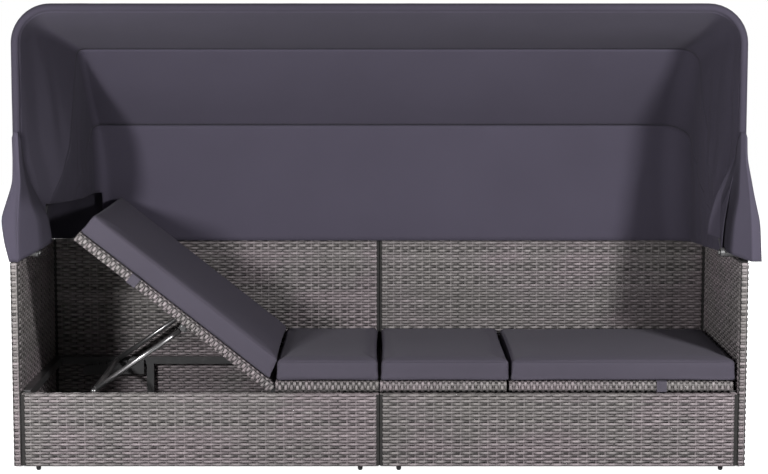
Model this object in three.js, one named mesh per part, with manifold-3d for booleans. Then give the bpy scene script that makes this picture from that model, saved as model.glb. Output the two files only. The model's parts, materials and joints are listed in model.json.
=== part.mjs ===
// Outdoor daybed with a folding canopy, in millimetres.
// X runs to the right, Y to the back and Z up. The origin is on the ground, under the middle.
// Two modules stand side by side. Each has an arm, a back panel, an apron, a fixed seat panel and
// a seat panel that lifts into a backrest on a prop. Three hoops carry the canopy.
import * as THREE from "three";
import { mergeVertices } from "three/addons/utils/BufferGeometryUtils.js";
import Module from "manifold-3d";

const wasm = await Module();
wasm.setup();

// Overall sizes
const overallWidth = 2050;
const overallDepth = 620;
const footHeight = 12;
const sideTop = 586;
const apronTop = 219;
const seatBottom = 224;
const seatThickness = 28;
const canopyTop = 1302;

// Fits
const fitGap = 0.3;
const moduleGap = 2;
const cutOverrun = 1;
const mergeTolerance = 1e-4;

// Woven panels: a skin of weave round a frame of square bars
const panelThickness = 26;
const weaveSkin = 3;
const coreGap = 0.5;
const largestBay = 200;

// Seat panels
const seatFrontInset = 2;
const seatRearGap = 3;
const liftPanelLength = { left: 679, right: 617 };
const liftPanelEndGap = { left: 13, right: 12 };
const seatEndRadius = 10;
const panelSweepGap = 1;

// Backrest hinges
const pinInset = 10;
const barInset = 2;
const rodRadius = 5;
const boreGap = 0.5;
const earThickness = 5;
const earRadius = 8;
const earSideGap = 0.5;
const earFootDepth = 15;
const earCount = 3;

// Backrest props, with the stops at which the foot drops into a rack
const propRadius = 7.5;
const propLength = 307;
const propPivotAlong = 288;
const propPivotBelow = 14;
const propSlopeFlat = 1.1;
const propTurnRatio = 1.875;
const propFrontLegInset = 55;
const propRearLegInset = 75;
const propEyeRadius = 9;
const propEyeWidth = 12;
const propPinRadius = 4;
const propPinHeadRadius = 7;
const propPinHeadWidth = 2.5;
const propPlateThickness = 5;
const propPlateHalfWidth = 12;
const propSideGap = 0.4;
const crossbarEndGap = 1.7;
const restAngle = { left: 38.5, right: 0 };
const largestAngle = 50;

// Seat rails, joists and racks
const railSize = 22;
const railOffset = 0.3;
const centreJoistWidth = 40;
const postFromArm = 294;
const postFootGap = 18;
const rackThickness = 11.7;
const rackBottom = 172;
const rackTopGap = 0.5;
const rackOverlap = 8;
const rackStep = 0.5;
const toothPitch = 22;
const toothCut = 5;
const toothDepth = 7;

// Glides
const glideRadius = 7;
const glideFlatRadius = 4;
const glideDomeHeight = 8;
const glideInsetOuter = 69;
const glideInsetInner = 54;
const glideSides = 12;
const glideSteps = 3;
const rodSides = 16;

// Cushions
const cushionThickness = 62;
const cushionEdgeRadius = 19;
const cushionCrown = 5;
const cushionDrawIn = 5;
const cushionFrontInset = 8;
const cushionRearGap = 5;
const cushionSideGap = 3;
const cushionHingeInset = { fixed: 4, lifted: 12 };
const cushionSlant = 36;
const cushionSlantReach = 120;
const cushionFreeOverhang = 1;

// Cushion straps
const strapWidth = 28;
const strapThickness = 1.4;
const strapReach = 42;
const strapFromFreeEnd = 200;

// Canopy hoops
const tubeRadius = 9;
const hubInset = 40;
const hubRise = 26;
const hoopInset = 21;
const hoopPitch = 22;
const hoopCorner = 100;
const midHoop = { length: 652, angle: 29.7 };
const rearHoop = { length: 624, angle: 58.1 };
const eyeRadius = 13;
const eyeGap = 0.6;
const studRadius = 5;
const studNutRadius = 8;
const studNutWidth = 5;
const bracketPlateThickness = 4;
const bracketPlateLength = 44;
const bracketEarHalfWidth = 12;
const bracketEdge = 3;
const tubeHalfSides = 6;
const cornerSteps = 6;

// Canopy cloth
const clothThickness = 2;
const clothGap = 2;
const clothSeamGap = 0.4;
const clothFirstRadius = 20;
const clothLoopHalfWidth = 997;
const clothLoopInset = 13;
const clothLoopRise = 4;
const clothLoopCorner = 50;
const sleeveTurn = 150;
const sleeveTurnLoose = 60;
const sleeveLooseLead = 280;
const sleeveSteps = 4;
const roofSag = 5;
const foldDepth = 9;
const foldsPerSection = 2;
const foldStart = 150;
const foldFull = 330;
const flareReach = 235;
const flareFull = 95;
const flareWidth = 35;
const flareAtHem = 26;
const legSteps = 7;
const barSteps = 10;
const clothCornerSteps = 5;
const clothRows = 8;

// Values worked out from the sizes above
const halfWidth = overallWidth / 2;
const frontFace = -overallDepth / 2;
const backFace = overallDepth / 2;
const frontInner = frontFace + panelThickness;
const backInner = backFace - panelThickness;
const armInner = halfWidth - panelThickness;
const seatFront = frontFace + seatFrontInset;
const seatBack = backInner - seatRearGap;
const seatMiddle = seatBottom + seatThickness / 2;
const railTop = seatBottom - fitGap;
const railBottom = railTop - railSize;
const railFront = backInner - railOffset - railSize;
const joistFront = frontInner + fitGap;
const joistBack = railFront - fitGap;
const seatBar = seatThickness - 2 * (weaveSkin + coreGap);
const hoopHalfWidth = halfWidth - hoopInset;
const hubY = frontFace + hubInset;
const hubZ = sideTop + hubRise;
const frontHoopLength = canopyTop - clothThickness - clothGap - tubeRadius - hubZ;
const propFrontLeg = frontFace + propFrontLegInset;
const propRearLeg = backFace - propRearLegInset;
const sideSign = { left: -1, right: 1 };

const sweepRadius = Math.hypot(pinInset - seatEndRadius, seatThickness / 2 - seatEndRadius) + seatEndRadius;
const freeSeatEnd = {
  left: armInner - liftPanelEndGap.left,
  right: armInner - liftPanelEndGap.right,
};
const pinPlace = {
  left: freeSeatEnd.left - liftPanelLength.left,
  right: freeSeatEnd.right - liftPanelLength.right,
};
const fixedSeatEnd = {
  left: pinPlace.left - sweepRadius - panelSweepGap,
  right: pinPlace.right - sweepRadius - panelSweepGap,
};
const postPlace = armInner - postFromArm;

// Materials
function material(colour, roughness, metalness) {
  return new THREE.MeshStandardMaterial({ color: colour, roughness, metalness });
}
const wicker = material(0x76726f, 0.62, 0);
const steel = material(0x1d1d20, 0.42, 0.75);
const cushionCloth = material(0x4f4c55, 0.9, 0);
const canopyCloth = material(0x47444d, 0.92, 0);
const strapWebbing = material(0x45434b, 0.9, 0);
const zinc = material(0x9a9a98, 0.35, 0.9);
const blackPlastic = material(0x101012, 0.5, 0);

const daybed = new THREE.Group();

// Solids and three.js geometry are turned into each other for joins and cuts.
function solidOf(geometry) {
  const bare = geometry.index ? geometry.clone() : mergeVertices(geometry.clone());
  bare.deleteAttribute("normal");
  bare.deleteAttribute("uv");
  const merged = mergeVertices(bare, mergeTolerance);
  const mesh = new wasm.Mesh({
    numProp: 3,
    vertProperties: new Float32Array(merged.attributes.position.array),
    triVerts: new Uint32Array(merged.index.array),
  });
  return new wasm.Manifold(mesh);
}

function geometryOf(solid) {
  const mesh = solid.getMesh();
  const geometry = new THREE.BufferGeometry();
  geometry.setAttribute("position", new THREE.BufferAttribute(new Float32Array(mesh.vertProperties), 3));
  geometry.setIndex(new THREE.BufferAttribute(new Uint32Array(mesh.triVerts), 1));
  geometry.computeVertexNormals();
  return geometry;
}

function joined(solids) {
  return solids.reduce((sum, next) => sum.add(next));
}

function place(parent, name, solid, look) {
  const mesh = new THREE.Mesh(geometryOf(solid), look);
  mesh.name = name;
  parent.add(mesh);
  return mesh;
}

// A block between two corners, in any order along X so that a side can be mirrored
function blockShape(x0, x1, y0, y1, z0, z1) {
  const geometry = new THREE.BoxGeometry(Math.abs(x1 - x0), Math.abs(y1 - y0), Math.abs(z1 - z0));
  geometry.translate((x0 + x1) / 2, (y0 + y1) / 2, (z0 + z1) / 2);
  return geometry;
}

function block(x0, x1, y0, y1, z0, z1) {
  return solidOf(blockShape(x0, x1, y0, y1, z0, z1));
}

// A round bar along X or Y between two places
function rodAlongX(radius, x0, x1, y, z, sides = rodSides) {
  const geometry = new THREE.CylinderGeometry(radius, radius, Math.abs(x1 - x0), sides);
  geometry.rotateZ(Math.PI / 2);
  geometry.translate((x0 + x1) / 2, y, z);
  return solidOf(geometry);
}

function rodAlongY(radius, y0, y1, x, z, sides = rodSides) {
  const geometry = new THREE.CylinderGeometry(radius, radius, Math.abs(y1 - y0), sides);
  geometry.translate(x, (y0 + y1) / 2, z);
  return solidOf(geometry);
}

// An outline in X and Z, given thickness along Y
function plateAlongY(points, y0, y1) {
  const shape = new THREE.Shape(points.map(([x, z]) => new THREE.Vector2(x, z)));
  const geometry = new THREE.ExtrudeGeometry(shape, { depth: y1 - y0, bevelEnabled: false });
  geometry.rotateX(Math.PI / 2);
  geometry.translate(0, y1, 0);
  return solidOf(geometry);
}

// Places that split a length into even bays, none wider than the largest bay
function evenPlaces(from, to, barSize) {
  const bays = Math.ceil((to - from) / (largestBay + barSize));
  const places = [];
  for (let i = 0; i <= bays; i += 1) {
    places.push(from + ((to - from) * i) / bays);
  }
  return places;
}

// A woven panel is a box of weave, open at its foot, round a frame of bars. The panel is thin
// along one axis, and its bars run upwards.
function uprightPanel(name, thinAxis, side, low, high) {
  const cavity = weaveSkin;
  const open = cutOverrun;
  const outer = block(low[0], high[0], low[1], high[1], low[2], high[2]);
  const inner = block(
    low[0] + cavity, high[0] - cavity, low[1] + cavity, high[1] - cavity, low[2] - open, high[2] - cavity);
  place(daybed, `${name}_cover_${side}`, outer.subtract(inner), wicker);

  const inset = weaveSkin + coreGap;
  const bar = panelThickness - 2 * inset;
  const a = low.map((value, axis) => value + (axis === 2 ? coreGap : inset));
  const b = high.map((value) => value - inset);
  const wideAxis = thinAxis === 0 ? 1 : 0;
  const places = evenPlaces(a[wideAxis], b[wideAxis] - bar, bar);
  const bars = places.map((from) => {
    const corner = [a, b].map((point) => [...point]);
    corner[0][wideAxis] = from;
    corner[1][wideAxis] = from + bar;
    return block(corner[0][0], corner[1][0], corner[0][1], corner[1][1], corner[0][2], corner[1][2]);
  });
  bars.push(block(a[0], b[0], a[1], b[1], b[2] - bar, b[2]));
  bars.push(block(a[0], b[0], a[1], b[1], a[2], a[2] + bar));
  place(daybed, `${name}_frame_${side}`, joined(bars), steel);
}

function sorted(x0, x1) {
  return [Math.min(x0, x1), Math.max(x0, x1)];
}

function armPanel(side) {
  const [x0, x1] = sorted(sideSign[side] * armInner, sideSign[side] * halfWidth);
  uprightPanel("arm", 0, side, [x0, frontFace, footHeight], [x1, backFace, sideTop]);
}

function backPanel(side) {
  const sign = sideSign[side];
  const [x0, x1] = sorted((sign * moduleGap) / 2, sign * (armInner - fitGap));
  uprightPanel("back", 1, side, [x0, backInner, footHeight], [x1, backFace, sideTop]);
}

function apronPanel(side) {
  const sign = sideSign[side];
  const [x0, x1] = sorted((sign * moduleGap) / 2, sign * (armInner - fitGap));
  uprightPanel("apron", 1, side, [x0, frontFace, footHeight], [x1, frontInner, apronTop]);
}

// Seat frame: bars from end to end, with a bar across each end
function seatBars(x0, x1, crossPlaces) {
  const inset = weaveSkin + coreGap;
  const y0 = seatFront + inset;
  const y1 = seatBack - inset;
  const half = seatBar / 2;
  const bars = evenPlaces(y0, y1 - seatBar, seatBar).map((from) => {
    return block(x0, x1, from, from + seatBar, -half, half);
  });
  for (const from of crossPlaces) {
    bars.push(block(from, from + seatBar, y0, y1, -half, half));
  }
  return joined(bars);
}

// A seat cover has a round end at its hinge side. Local X runs from the pin to the free end.
function seatCover(length, hingeInset, radius) {
  const half = seatThickness / 2;
  const shape = new THREE.Shape();
  shape.moveTo(-hingeInset + radius, -half);
  shape.lineTo(length, -half);
  shape.lineTo(length, half);
  shape.lineTo(-hingeInset + radius, half);
  shape.absarc(-hingeInset + radius, half - radius, radius, Math.PI / 2, Math.PI, false);
  shape.absarc(-hingeInset + radius, radius - half, radius, Math.PI, 1.5 * Math.PI, false);
  const options = { depth: seatBack - seatFront, bevelEnabled: false, curveSegments: cornerSteps };
  const geometry = new THREE.ExtrudeGeometry(shape, options);
  geometry.rotateX(Math.PI / 2);
  geometry.translate(0, seatBack, 0);
  const open = hingeInset + cutOverrun;
  const hollow = block(
    -open, length - weaveSkin, seatFront + weaveSkin, seatBack - weaveSkin,
    weaveSkin - half, half - weaveSkin);
  return solidOf(geometry).subtract(hollow);
}

function mirrored(solid, sign) {
  return sign > 0 ? solid : solid.mirror([1, 0, 0]);
}

function fixedSeat(side) {
  const sign = sideSign[side];
  const end = fixedSeatEnd[side];
  const start = moduleGap / 2;
  const half = seatThickness / 2;
  const cover = block(start, end, seatFront, seatBack, -half, half);
  const hollow = block(
    start - cutOverrun, end - weaveSkin, seatFront + weaveSkin, seatBack - weaveSkin,
    weaveSkin - half, half - weaveSkin);
  const inset = weaveSkin + coreGap;
  const bars = seatBars(start + coreGap, end - inset, [start + coreGap, end - inset - seatBar]);
  const shell = mirrored(cover.subtract(hollow), sign).translate([0, 0, seatMiddle]);
  place(daybed, `seat_cover_${side}`, shell, wicker);
  place(daybed, `seat_frame_${side}`, mirrored(bars, sign).translate([0, 0, seatMiddle]), steel);
}

// Hinge ears stand on the joist, each in the middle of a bay of the backrest frame
function earPlaces() {
  const inset = weaveSkin + coreGap;
  const places = evenPlaces(seatFront + inset, seatBack - inset - seatBar, seatBar);
  const middles = [];
  for (let i = 0; i < Math.min(earCount, places.length - 1); i += 1) {
    middles.push((places[i] + places[i + 1] + seatBar) / 2);
  }
  return middles;
}

function joist(side) {
  const sign = sideSign[side];
  const pin = pinPlace[side];
  const near = fixedSeatEnd[side] - railSize - panelSweepGap;
  const beam = block(near, near + railSize, joistFront, joistBack, railBottom, railTop);
  const earTop = apronTop - panelSweepGap;
  const solids = [beam];
  for (const y of earPlaces()) {
    const outline = [
      [near + railSize - cutOverrun, earTop - earFootDepth],
      [pin + earRadius, earTop - earFootDepth],
      [pin + earRadius, seatMiddle],
      [pin - earRadius, seatMiddle],
      [pin - earRadius, earTop],
      [near + railSize - cutOverrun, earTop],
    ];
    const y0 = y - earThickness / 2;
    const y1 = y + earThickness / 2;
    const ear = plateAlongY(outline, y0, y1).add(rodAlongY(earRadius, y0, y1, pin, seatMiddle));
    const bore = rodAlongY(rodRadius + boreGap, y0 - cutOverrun, y1 + cutOverrun, pin, seatMiddle);
    solids.push(ear.subtract(bore));
  }
  place(daybed, `joist_${side}`, mirrored(joined(solids), sign), steel);
}

function centreJoist() {
  const half = centreJoistWidth / 2;
  place(daybed, "joist_centre", block(-half, half, joistFront, joistBack, railBottom, railTop), steel);
}

function rails(side) {
  const sign = sideSign[side];
  const end = armInner - fitGap;
  const rear = block(moduleGap / 2, end, railFront, railFront + railSize, railBottom, railTop);
  const halfPost = railSize / 2;
  const post = block(
    postPlace - halfPost, postPlace + halfPost, railFront, railFront + railSize,
    footHeight + postFootGap, railBottom + cutOverrun);
  place(daybed, `rear_rail_${side}`, mirrored(rear.add(post), sign), steel);
  const start = end - railSize;
  const sideRail = block(start, end, joistFront, joistBack, railBottom, railTop);
  place(daybed, `side_rail_${side}`, mirrored(sideRail, sign), steel);
}

// The prop's foot at a backrest angle, from the pin, with the prop turning at its steady ratio
function propFoot(angle) {
  const turn = THREE.MathUtils.degToRad(angle);
  const below = seatThickness / 2 + propPivotBelow;
  const along = propPivotAlong * Math.cos(turn) + below * Math.sin(turn);
  const up = propPivotAlong * Math.sin(turn) - below * Math.cos(turn);
  const slope = THREE.MathUtils.degToRad(propSlopeFlat + (propTurnRatio - 1) * angle);
  return [along + propLength * Math.cos(slope), up - propLength * Math.sin(slope)];
}

// The underside of the space that the prop's foot sweeps, at a distance from the pin
function sweptUnderside(x) {
  const drop = propRadius + rackTopGap;
  let lowest = Infinity;
  for (let angle = 0; angle <= largestAngle; angle += rackStep) {
    const [footX, footZ] = propFoot(angle);
    const aside = Math.abs(x - footX);
    if (aside < drop) {
      lowest = Math.min(lowest, footZ - Math.sqrt(drop ** 2 - aside ** 2));
    }
  }
  return lowest;
}

// A rack's top follows the foot of the prop, and its teeth are cut down from there
function rack(name, side, y0, y1) {
  const pin = pinPlace[side];
  const flatFoot = propFoot(0)[0];
  const raisedFoot = propFoot(largestAngle)[0];
  const spans = Math.round((flatFoot - raisedFoot) / toothPitch);
  const top = [];
  for (let i = 0; i <= spans; i += 1) {
    const x = flatFoot + ((raisedFoot - flatFoot) * i) / spans;
    top.push([pin + x, seatMiddle + sweptUnderside(x)]);
  }
  const outer = Math.min(top[0][0] + rackOverlap, armInner - railSize - 3 * fitGap);
  const inner = top[top.length - 1][0] - rackOverlap;
  const outline = [
    [outer, rackBottom],
    [outer, top[0][1]],
    ...top,
    [inner, top[top.length - 1][1]],
    [inner, rackBottom],
  ];
  let plate = plateAlongY(outline, y0, y1);
  for (const [x, z] of top.slice(1, -1)) {
    const notch = [
      [x, z - toothDepth],
      [x + toothCut, z + toothDepth],
      [x - toothCut, z + toothDepth],
    ];
    plate = plate.subtract(plateAlongY(notch, y0 - cutOverrun, y1 + cutOverrun));
  }
  place(daybed, `${name}_${side}`, mirrored(plate, sideSign[side]), steel);
}

function racks(side) {
  rack("rack_front", side, joistFront, joistFront + rackThickness);
  rack("rack_rear", side, joistBack - rackThickness, joistBack);
}

function glides(side) {
  const sign = sideSign[side];
  const profile = [
    new THREE.Vector2(0, 0),
    new THREE.Vector2(glideFlatRadius, 0),
  ];
  for (let i = 1; i <= glideSteps; i += 1) {
    const turn = (Math.PI / 2) * (i / glideSteps);
    const reach = glideRadius - glideFlatRadius;
    profile.push(new THREE.Vector2(
      glideFlatRadius + reach * Math.sin(turn), glideDomeHeight * (1 - Math.cos(turn))));
  }
  profile.push(new THREE.Vector2(glideRadius, footHeight - fitGap));
  profile.push(new THREE.Vector2(0, footHeight - fitGap));
  const shape = new THREE.LatheGeometry(profile, glideSides);
  shape.rotateX(Math.PI / 2);
  const places = [["outer", halfWidth - glideInsetOuter], ["inner", glideInsetInner]];
  const rows = [["front", (frontFace + frontInner) / 2], ["rear", (backFace + backInner) / 2]];
  for (const [row, y] of rows) {
    for (const [where, x] of places) {
      const glide = place(daybed, `glide_${row}_${where}_${side}`, solidOf(shape), blackPlastic);
      glide.position.set(sign * x, y, 0);
    }
  }
}

// A cushion is a rounded block with a crown, drawn in between its corners. Its low end along X can
// slant back towards the top, which leaves room for it to tip.
function cushion(x0, x1, y0, y1, z0, slant) {
  const centre = new THREE.Vector3((x0 + x1) / 2, (y0 + y1) / 2, z0 + cushionThickness / 2);
  const half = new THREE.Vector3((x1 - x0) / 2, (y1 - y0) / 2, cushionThickness / 2);
  const softShares = [1, 0.7, 0];
  const middleCounts = [5, 4, 0];
  const places = [half.x, half.y, half.z].map((reach, axis) => {
    const edge = softShares.map((share) => reach - cushionEdgeRadius * (1 - share));
    const inside = reach - cushionEdgeRadius;
    const middles = [];
    for (let i = 1; i <= middleCounts[axis]; i += 1) {
      middles.push(-inside + (2 * inside * i) / (middleCounts[axis] + 1));
    }
    return [-edge[0], -edge[1], -edge[2], ...middles, edge[2], edge[1], edge[0]];
  });
  const counts = places.map((list) => list.length - 1);
  const geometry = new THREE.BoxGeometry(2, 2, 2, counts[0], counts[1], counts[2]);
  const position = geometry.attributes.position;
  for (let i = 0; i < position.count; i += 1) {
    const point = [position.getX(i), position.getY(i), position.getZ(i)].map((value, axis) => {
      return places[axis][Math.round(((value + 1) / 2) * counts[axis])];
    });
    const inner = point.map((value, axis) => {
      const limit = half.getComponent(axis) - cushionEdgeRadius;
      return THREE.MathUtils.clamp(value, -limit, limit);
    });
    const out = new THREE.Vector3(...point).sub(new THREE.Vector3(...inner)).setLength(cushionEdgeRadius);
    const spot = new THREE.Vector3(...inner).add(out);
    const along = 1 - (spot.x / half.x) ** 2;
    const across = 1 - (spot.y / half.y) ** 2;
    const crown = cushionCrown * Math.sqrt(Math.max(along, 0) * Math.max(across, 0));
    const topShare = spot.z > 0 ? spot.z / half.z : 0;
    spot.y -= Math.sign(spot.y) * cushionDrawIn * along * (1 - across);
    spot.x -= Math.sign(spot.x) * cushionDrawIn * across * (1 - along);
    spot.z += crown * topShare;
    const nearEnd = THREE.MathUtils.clamp(1 - (spot.x + half.x) / cushionSlantReach, 0, 1);
    spot.x += slant * nearEnd * THREE.MathUtils.clamp((spot.z + half.z) / cushionThickness, 0, 1);
    spot.add(centre);
    position.setXYZ(i, spot.x, spot.y, spot.z);
  }
  return solidOf(geometry);
}

function fixedCushion(side) {
  const inner = cushionSideGap / 2;
  const outer = fixedSeatEnd[side] - cushionHingeInset.fixed;
  const base = seatBottom + seatThickness + fitGap;
  const solid = cushion(inner, outer, frontFace + cushionFrontInset, seatBack - cushionRearGap, base, 0);
  place(daybed, `seat_cushion_${side}`, mirrored(solid, sideSign[side]), cushionCloth);
}

// A backrest is drawn flat, with its pin at the origin, and its group then turns to its rest angle
function backrest(side) {
  const sign = sideSign[side];
  const pin = pinPlace[side];
  const length = freeSeatEnd[side] - pin;
  const inset = weaveSkin + coreGap;
  const half = seatThickness / 2;
  const group = new THREE.Group();
  group.position.set(sign * pin, 0, seatMiddle);
  group.rotation.y = -sign * THREE.MathUtils.degToRad(restAngle[side]);
  daybed.add(group);

  const pivotBelow = half + propPivotBelow;
  const hingeBar = barInset - pinInset;
  const crossAt = propPivotAlong - seatBar / 2;
  const crossPlaces = [hingeBar, crossAt, length - inset - seatBar];
  let frame = seatBars(hingeBar, length - inset, crossPlaces);
  let cover = seatCover(length, pinInset, seatEndRadius);
  for (const y of earPlaces()) {
    const reach = earRadius + boreGap;
    const y0 = y - earThickness / 2 - earSideGap;
    const y1 = y + earThickness / 2 + earSideGap;
    const hingeBarEnd = hingeBar + seatBar + cutOverrun;
    frame = frame.subtract(block(-pinInset - cutOverrun, hingeBarEnd, y0, y1, -half, half));
    cover = cover.subtract(block(-pinInset - cutOverrun, reach, y0, y1, -half - cutOverrun, 0));
  }
  const bore = rodRadius + boreGap;
  frame = frame.subtract(rodAlongY(bore, seatFront, seatBack, 0, 0));

  for (const [y, turned] of [[propFrontLeg, 1], [propRearLeg, -1]]) {
    const eyeSide = y + (turned * propEyeWidth) / 2;
    const plateNear = eyeSide + turned * propSideGap;
    const plateFar = plateNear + turned * propPlateThickness;
    const [y0, y1] = sorted(plateNear, plateFar);
    const plate = block(
      propPivotAlong - propPlateHalfWidth, propPivotAlong + propPlateHalfWidth, y0, y1,
      -pivotBelow - propEyeRadius, -seatBar / 2 + cutOverrun);
    const headNear = y - turned * (propEyeWidth / 2 + propSideGap);
    const headFar = headNear - turned * propPinHeadWidth;
    const pinRod = rodAlongY(propPinRadius, plateFar, headFar, propPivotAlong, -pivotBelow);
    const head = rodAlongY(propPinHeadRadius, headNear, headFar, propPivotAlong, -pivotBelow);
    frame = joined([frame, plate, pinRod, head]);
    const slotReach = propPlateHalfWidth + coreGap;
    cover = cover.subtract(block(
      propPivotAlong - slotReach, propPivotAlong + slotReach, y0 - coreGap, y1 + coreGap,
      -half - cutOverrun, weaveSkin - half + cutOverrun));
  }
  place(group, `backrest_frame_${side}`, mirrored(frame, sign), steel);
  place(group, `backrest_cover_${side}`, mirrored(cover, sign), wicker);
  const rodInset = weaveSkin + fitGap;
  const rod = rodAlongY(rodRadius, seatFront + rodInset, seatBack - rodInset, 0, 0);
  place(group, `hinge_rod_${side}`, rod, zinc);

  const base = half + strapThickness + 2 * fitGap;
  const pad = cushion(
    cushionHingeInset.lifted, length + cushionFreeOverhang,
    frontFace + cushionFrontInset, seatBack - cushionRearGap, base, cushionSlant);
  place(group, `backrest_cushion_${side}`, mirrored(pad, sign), cushionCloth);

  // The strap holds the cushion to the front edge of the panel
  const strapAt = length - strapFromFreeEnd - strapWidth / 2;
  const reachBack = seatFront + strapReach;
  const out = fitGap + strapThickness;
  const band = block(strapAt, strapAt + strapWidth, seatFront - out, reachBack, -half - out, half + out);
  const hole = block(
    strapAt - cutOverrun, strapAt + strapWidth + cutOverrun, seatFront - fitGap, reachBack + cutOverrun,
    -half - fitGap, half + fitGap);
  place(group, `cushion_strap_${side}`, mirrored(band.subtract(hole), sign), strapWebbing);

  prop(group, side, pivotBelow);
}

// The prop is a U: two legs with eyes at the pivots, and a bar across their feet
function prop(backrestGroup, side, pivotBelow) {
  const sign = sideSign[side];
  const group = new THREE.Group();
  group.position.set(sign * propPivotAlong, 0, -pivotBelow);
  const fromFlat = propSlopeFlat + propTurnRatio * restAngle[side];
  group.rotation.y = sign * THREE.MathUtils.degToRad(fromFlat);
  backrestGroup.add(group);
  const solids = [];
  for (const y of [propFrontLeg, propRearLeg]) {
    solids.push(rodAlongX(propRadius, 0, propLength, y, 0));
    solids.push(rodAlongY(propEyeRadius, y - propEyeWidth / 2, y + propEyeWidth / 2, 0, 0));
  }
  solids.push(rodAlongY(propRadius, frontInner + crossbarEndGap, railFront - crossbarEndGap, propLength, 0));
  let body = joined(solids);
  for (const y of [propFrontLeg, propRearLeg]) {
    const reach = propEyeWidth / 2 + cutOverrun;
    body = body.subtract(rodAlongY(propPinRadius + boreGap, y - reach, y + reach, 0, 0));
    for (const turned of [-1, 1]) {
      const from = y + (turned * propEyeWidth) / 2;
      const [y0, y1] = sorted(from, from + turned * propRadius);
      const reachOut = propEyeRadius + propPlateHalfWidth;
      const reachUp = propEyeRadius + cutOverrun;
      body = body.subtract(block(-propEyeRadius - boreGap, reachOut, y0, y1, -reachUp, reachUp));
    }
  }
  place(group, `prop_${side}`, mirrored(body, sign), steel);
}

// Canopy hoops fan out from a hub over the front of each arm
const hoops = {
  front: { length: frontHoopLength, angle: 0, halfWidth: hoopHalfWidth, corner: hoopCorner },
  mid: { ...midHoop, halfWidth: hoopHalfWidth - hoopPitch, corner: hoopCorner },
  rear: { ...rearHoop, halfWidth: hoopHalfWidth - 2 * hoopPitch, corner: hoopCorner },
};
const loopBack = backFace - clothLoopInset - hubY;
const loopRise = sideTop + clothLoopRise - hubZ;
hoops.frame = {
  length: Math.hypot(loopBack, loopRise) - tubeRadius - clothGap,
  angle: THREE.MathUtils.radToDeg(Math.atan2(loopBack, loopRise)),
  halfWidth: clothLoopHalfWidth,
  corner: clothLoopCorner,
};

// Points along a hoop from the left hub to the right hub, each with its outward direction.
// Across is along X and reach is the distance from the hub axis.
function hoopTrack(hoop, first, steps) {
  const track = [];
  const turnZone = hoop.length - hoop.corner;
  const flat = hoop.halfWidth - hoop.corner;
  for (let i = 0; i < steps.leg; i += 1) {
    const reach = first + ((turnZone - first) * i) / steps.leg;
    track.push({ across: -hoop.halfWidth, reach, out: [-1, 0] });
  }
  for (let i = 0; i < steps.corner; i += 1) {
    const turn = (Math.PI / 2) * (i / steps.corner);
    const out = [-Math.cos(turn), Math.sin(turn)];
    track.push({ across: -flat + hoop.corner * out[0], reach: turnZone + hoop.corner * out[1], out });
  }
  for (let i = 0; i <= steps.bar / 2; i += 1) {
    track.push({ across: -flat + (2 * flat * i) / steps.bar, reach: hoop.length, out: [0, 1] });
  }
  const mirror = track.slice(0, -1).reverse().map((point) => {
    return { across: -point.across, reach: point.reach, out: [-point.out[0], point.out[1]] };
  });
  return [...track, ...mirror];
}

function fanPoint(hoop, across, reach) {
  const turn = THREE.MathUtils.degToRad(hoop.angle);
  return new THREE.Vector3(across, hubY + reach * Math.sin(turn), hubZ + reach * Math.cos(turn));
}

// A curve through the stops of a track, with one step of the sweep between each two stops
class StopCurve extends THREE.Curve {
  constructor(stops) {
    super();
    this.stops = stops;
  }

  getPoint(share) {
    const along = share * (this.stops.length - 1);
    const from = THREE.MathUtils.clamp(Math.floor(along), 0, this.stops.length - 2);
    return this.stops[from].clone().lerp(this.stops[from + 1], along - from);
  }

  getUtoTmapping(share) {
    return share;
  }
}

function roundShape(radius) {
  const shape = new THREE.Shape();
  shape.absarc(0, 0, radius, 0, 2 * Math.PI, false);
  return shape;
}

// A hoop is one bent tube with an eye at each end
function hoop(name) {
  const form = hoops[name];
  const steps = { leg: 1, corner: cornerSteps, bar: 2 };
  const stops = hoopTrack(form, eyeRadius - tubeRadius / 2, steps).map((stop) => {
    return fanPoint(form, stop.across, stop.reach);
  });
  const path = new StopCurve(stops);
  const options = { extrudePath: path, steps: stops.length - 1, curveSegments: tubeHalfSides };
  let tube = solidOf(new THREE.ExtrudeGeometry(roundShape(tubeRadius), options));
  for (const sign of [-1, 1]) {
    const x = sign * form.halfWidth;
    const halfEye = (hoopPitch - eyeGap) / 2;
    const eye = rodAlongX(eyeRadius, x - halfEye, x + halfEye, hubY, hubZ);
    const overrun = halfEye + cutOverrun;
    tube = tube.add(eye).subtract(rodAlongX(studRadius + boreGap, x - overrun, x + overrun, hubY, hubZ));
  }
  place(daybed, `hoop_${name}`, tube, steel);
}

// A closed mesh from points and faces, turned outwards if it came out inside out
function indexed(points, faces) {
  const geometry = new THREE.BufferGeometry();
  const values = points.flatMap((point) => [point.x, point.y, point.z]);
  geometry.setAttribute("position", new THREE.Float32BufferAttribute(values, 3));
  let volume = 0;
  for (let i = 0; i < faces.length; i += 3) {
    const [a, b, c] = [points[faces[i]], points[faces[i + 1]], points[faces[i + 2]]];
    volume += a.dot(b.clone().cross(c));
  }
  geometry.setIndex(volume < 0 ? [...faces].reverse() : faces);
  return geometry;
}

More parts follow.
